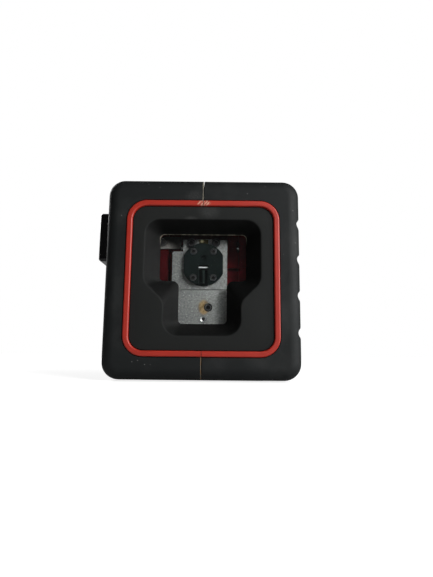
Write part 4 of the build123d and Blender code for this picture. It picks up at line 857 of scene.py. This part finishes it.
def rib(start, end, width, height):
    """Rounded rib as loops of (along, across, out): a pill outline drawn in along a quarter ellipse."""
    half = width / 2
    turn = np.linspace(0, math.pi / 2, RIB_ROWS)
    insets = np.concatenate([[0], half * RIB_DRAW * (1 - np.cos(turn))])
    heights = np.concatenate([[-RIB_ROOT], height * np.sin(turn)])
    first, last = start + half, end - half
    loops = [rounded_loop([(first, -half + i), (last, -half + i), (last, half - i), (first, half - i)],
                          [(half - i) * RIB_ROUND] * 4, arc_points=7, run_points=2) for i in insets]
    return np.stack([np.concatenate([loop, np.full((len(loop), 1), level)], axis=1)
                     for loop, level in zip(loops, heights)])


# Operators

class LEVEL_OT_finishes(bpy.types.Operator):
    """Give every solid the finish of its slot"""
    bl_idname = "level.finishes"
    bl_label = "Finish the solids"

    def execute(self, context):
        for node, slot in NODE_SLOTS.items():
            solid = frame["nodes"][node]
            solid.data.materials.clear()
            barrel = node == "laser_barrel"
            solid.data.materials.append(painted("level_barrel", barrel_finish) if barrel else finish(slot))
        return {"FINISHED"}


class LEVEL_OT_bezel(bpy.types.Operator):
    """Draw the bezel with its rounded lip and flared recess"""
    bl_idname = "level.bezel"
    bl_label = "Bezel"

    def execute(self, context):
        grid = bezel_grid()
        points = grid.reshape(-1, 3)
        faces = facets(*grid.shape[:2], 0).tolist()
        piece_of("bezel", points, faces, "bezel_plastic", "housing", ("front_bezel",), BEZEL_SHARP_DEGREES)
        return {"FINISHED"}


class LEVEL_OT_seam(bpy.types.Operator):
    """Draw the pale bead that shows along the seam of the jacket"""
    bl_idname = "level.seam"
    bl_label = "Seam bead"

    def execute(self, context):
        size = sizes()
        low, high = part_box("right_jacket")
        ring_low, ring_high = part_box("right_ring")
        panel_low, panel_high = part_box("keypad_panel")
        base_low, base_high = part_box("base_plate")
        door_low, door_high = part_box("battery_door")
        front, back, bottom, top = low.y, high.y, low.z, high.z
        left, right, rise = size.seam_left, size.seam_right, size.seam_proud
        section = np.array([(left, -size.seam_depth), (left, 0), (left + rise, rise), (right - rise, rise),
                            (right, 0), (right, -size.seam_depth)])
        edges = [
            ((front, ring_high.z), (front, top), (panel_low.y, top)),
            ((panel_high.y, top), (back, top), (back, door_high.z)),
            ((base_low.y, bottom), (front, bottom), (front, ring_low.z)),
            ((back, door_low.z), (back, bottom), (base_high.y, bottom)),
        ]
        grids = [swept(*round_the_edge(*edge, size.body_edge), section) for edge in edges]
        bead = solid_of("seam_bead", grids, "black_rubber", "housing")
        bead.data.materials[0] = painted("level_seam", seam_finish)
        return {"FINISHED"}


class LEVEL_OT_screws(bpy.types.Operator):
    """Draw the screws that show, with hexagon sockets"""
    bl_idname = "level.screws"
    bl_label = "Socket screws"

    def execute(self, context):
        for node, head, head_length, shank, out, body, soot in SCREWS:
            radius = getattr(sizes(), head)
            low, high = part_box(node)
            axis = out.index(-1)
            across = [other for other in range(3) if other != axis]
            grids = [socket_screw(radius, head_length * MM, shank * MM, high[axis] - low[axis],
                                  np.insert(spot, axis, low[axis]), out, SCREW_TURN * index)
                     for index, spot in enumerate(spots_in(node, radius, across))]
            solid_of(node + "_fine", grids, NODE_SLOTS[node], body, node, soot=soot)
        place, radius, end = front_end("calibration_screw")
        socket = radius * SOCKET_WIDTH
        rows = [(0, -SET_DEPTH, 1), (socket, -SET_DEPTH, 1), (socket, 0, 1), (radius * SET_FACE, 0, 0),
                (radius, -SET_EDGE, 0), (radius, end, 0), (0, end, 0)]
        grid = turned(rows, SCREW_POINTS, place, FORWARD, SET_TURN)
        solid_of("calibration_screw_fine", [grid], "black_steel", "pendulum", "calibration_screw",
                 soot=SET_BLACK_AND_SHADE)
        return {"FINISHED"}


class LEVEL_OT_pin(bpy.types.Operator):
    """Draw the bright pin of the balance weight with its hollow end, painted dark in its middle as shade"""
    bl_idname = "level.pin"
    bl_label = "Balance pin"

    def execute(self, context):
        place, radius, end = front_end("balance_pin")
        share = np.linspace(0, 1, PIN_ROWS)
        bowl = np.stack([radius * PIN_BOWL * share, -PIN_DEPTH * (1 - share ** 2), 0 * share], axis=1)
        rim = [(radius * PIN_FACE, 0, 0), (radius, -PIN_EDGE, 0), (radius, end, 0), (0, end, 0)]
        grid = turned(np.concatenate([bowl, rim]), PIN_POINTS, place, FORWARD)
        # Painted shade: the middle of the hollow is painted black
        soot = np.concatenate([np.clip(PIN_SHADE - PIN_SHADE_FALL * share, 0, 1), np.zeros(len(rim))])
        solid_of("balance_pin_fine", [grid], "nickel", "pendulum", "balance_pin", soot=soot)
        return {"FINISHED"}


class LEVEL_OT_ribs(bpy.types.Operator):
    """Draw the grip ribs in the lock thumb's dish and in the battery door's scoop"""
    bl_idname = "level.ribs"
    bl_label = "Grip ribs"

    def execute(self, context):
        size = sizes()
        low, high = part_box("lock_thumb")
        margin = size.dish_margin
        grip = rib(low.y + margin, high.y - margin, size.rib_width, size.rib_height)
        along, across, out = np.moveaxis(grip, -1, 0)
        floor = low.x + size.dish_depth
        grids = [np.stack([floor - out, along, level + across], axis=-1)
                 for level in spaced(low.z + margin, high.z - margin, size.rib_count)]
        solid_of("thumb_ribs", grids, "gloss_black", "lock_slide")
        low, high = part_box("battery_door")
        half, width = size.scoop_width / 2 - size.scoop_rib, size.scoop_rib
        along, across, out = np.moveaxis(rib(-half, half, width, width / 2), -1, 0)
        floor = high.y - size.scoop_depth
        grids = [np.stack([along, floor + out, level + across], axis=-1)
                 for level in spaced(high.z - size.scoop_height, high.z, size.scoop_ribs)]
        solid_of("scoop_ribs", grids, NODE_SLOTS["battery_door"], "battery_door")
        return {"FINISHED"}


# Stage

WHITE = (1.0, 1.0, 1.0)
# Lamps: place and size in metres, and the setting of their power
LAMPS = {
    "key_light": ((0.47, -0.59, 0.39), 0.26, "key_power"),
    "side_light": ((0.60, -0.22, 0.16), 0.30, "side_power"),
    "back_light": ((-0.55, 0.60, 0.50), 0.40, "back_power"),
}
LAMP_AIM = (0.0, -0.03, 0.05)
CLIP_START = 0.01
FLOOR_REACH = 3.0
FLOOR_TONE = (0.55, 0.55, 0.55)
# The floor's glow to the camera grows between two distances from the tool
FLOOR_FADE, FLOOR_GLOW = (0.12, 0.45), (0.74, 1.0)


def camera_rays(tree):
    """1 for rays that come straight from the camera."""
    return tree.nodes.new("ShaderNodeLightPath").outputs["Is Camera Ray"]


def set_world(strength):
    """White surroundings: full to the camera, weaker as light on surfaces."""
    world = bpy.data.worlds.new("studio")
    world.use_nodes = True
    tree = world.node_tree
    light = tree.nodes["Background"]
    light.inputs["Color"].default_value = (*WHITE, 1.0)
    level = tree.nodes.new("ShaderNodeMapRange")
    level.inputs["To Min"].default_value = strength
    level.inputs["To Max"].default_value = 1.0
    tree.links.new(camera_rays(tree), level.inputs["Value"])
    tree.links.new(level.outputs["Result"], light.inputs["Strength"])
    bpy.context.scene.world = world


def set_floor():
    """Pale floor that keeps the tool's shadow and goes over to white further out."""
    look = Finish("floor")
    glow = look.ramp(look.span(look.place), *FLOOR_FADE, *FLOOR_GLOW)
    glow = look.times(glow, camera_rays(look.tree))
    look.set(Base_Color=FLOOR_TONE, Roughness=0.9, Specular_IOR_Level=0.1, Emission_Color=WHITE,
             Emission_Strength=glow)
    corners = np.array([(-1, -1, 0), (1, -1, 0), (1, 1, 0), (-1, 1, 0)]) * FLOOR_REACH
    mesh = bpy.data.meshes.new("floor")
    mesh.from_pydata(corners.tolist(), [], [(0, 1, 2, 3)])
    mesh.materials.append(look.material)
    placed("floor", mesh)


def set_lamp(name, place, size, power):
    """Soft square lamp aimed at the middle of the front."""
    lamp = bpy.data.lights.new(name, "AREA")
    lamp.size = size
    lamp.energy = power
    aim = (Vector(LAMP_AIM) - Vector(place)).to_track_quat("-Z", "Y")
    placed(name, lamp).matrix_world = Matrix.Translation(place) @ aim.to_matrix().to_4x4()


def set_camera(view):
    """Camera that looks along +Y, pitched up and rolled; the focal length is for the long side."""
    camera = bpy.data.cameras.new("camera")
    camera.sensor_width = SENSOR_MM
    camera.lens = view.focal_pixels / PHOTO_HEIGHT * SENSOR_MM
    camera.clip_start = CLIP_START
    holder = placed("camera", camera)
    pitch = Matrix.Rotation(math.pi / 2 + view.camera_pitch, 4, "X")
    roll = Matrix.Rotation(view.camera_roll, 4, "Z")
    place = Matrix.Translation((view.camera_x, view.camera_y, view.camera_z))
    holder.matrix_world = place @ (pitch @ roll)
    bpy.context.scene.camera = holder


class LEVEL_OT_stage(bpy.types.Operator):
    """Set the floor, the light and the camera"""
    bl_idname = "level.stage"
    bl_label = "Stage"

    def execute(self, context):
        view = context.scene.level_stage
        context.scene.view_settings.view_transform = "Standard"
        set_world(view.sky)
        set_floor()
        for name, (place, size, power) in LAMPS.items():
            set_lamp(name, place, size, getattr(view, power))
        set_camera(view)
        return {"FINISHED"}


# Panel and registration

OPERATORS = [LEVEL_OT_finishes, LEVEL_OT_bezel, LEVEL_OT_seam, LEVEL_OT_screws, LEVEL_OT_pin, LEVEL_OT_ribs,
             LEVEL_OT_stage]


class LEVEL_PT_panel(bpy.types.Panel):
    """Laser level in the sidebar"""
    bl_idname = "LEVEL_PT_panel"
    bl_label = "Laser level"
    bl_space_type = "VIEW_3D"
    bl_region_type = "UI"
    bl_category = "Laser level"

    def draw(self, context):
        for operator in OPERATORS:
            self.layout.operator(operator.bl_idname)
        for name in SETTINGS:
            group = getattr(context.scene, name)
            box = self.layout.box()
            for key in group.bl_rna.properties.keys():
                if key not in ("rna_type", "name"):
                    box.prop(group, key)


def register():
    """Registers the settings, the operators and the panel."""
    for name, group in SETTINGS.items():
        bpy.utils.register_class(group)
        setattr(bpy.types.Scene, name, bpy.props.PointerProperty(type=group))
    for operator in OPERATORS:
        bpy.utils.register_class(operator)
    bpy.utils.register_class(LEVEL_PT_panel)


def unregister():
    """Takes everything that register added away again."""
    bpy.utils.unregister_class(LEVEL_PT_panel)
    for operator in reversed(OPERATORS):
        bpy.utils.unregister_class(operator)
    for name, group in SETTINGS.items():
        delattr(bpy.types.Scene, name)
        bpy.utils.unregister_class(group)


def main():
    """Builds every piece and the stage."""
    register()
    bpy.ops.level.finishes()
    bpy.ops.level.bezel()
    bpy.ops.level.seam()
    bpy.ops.level.screws()
    bpy.ops.level.pin()
    bpy.ops.level.ribs()
    bpy.ops.level.stage()


if __name__ == "__main__":
    main()
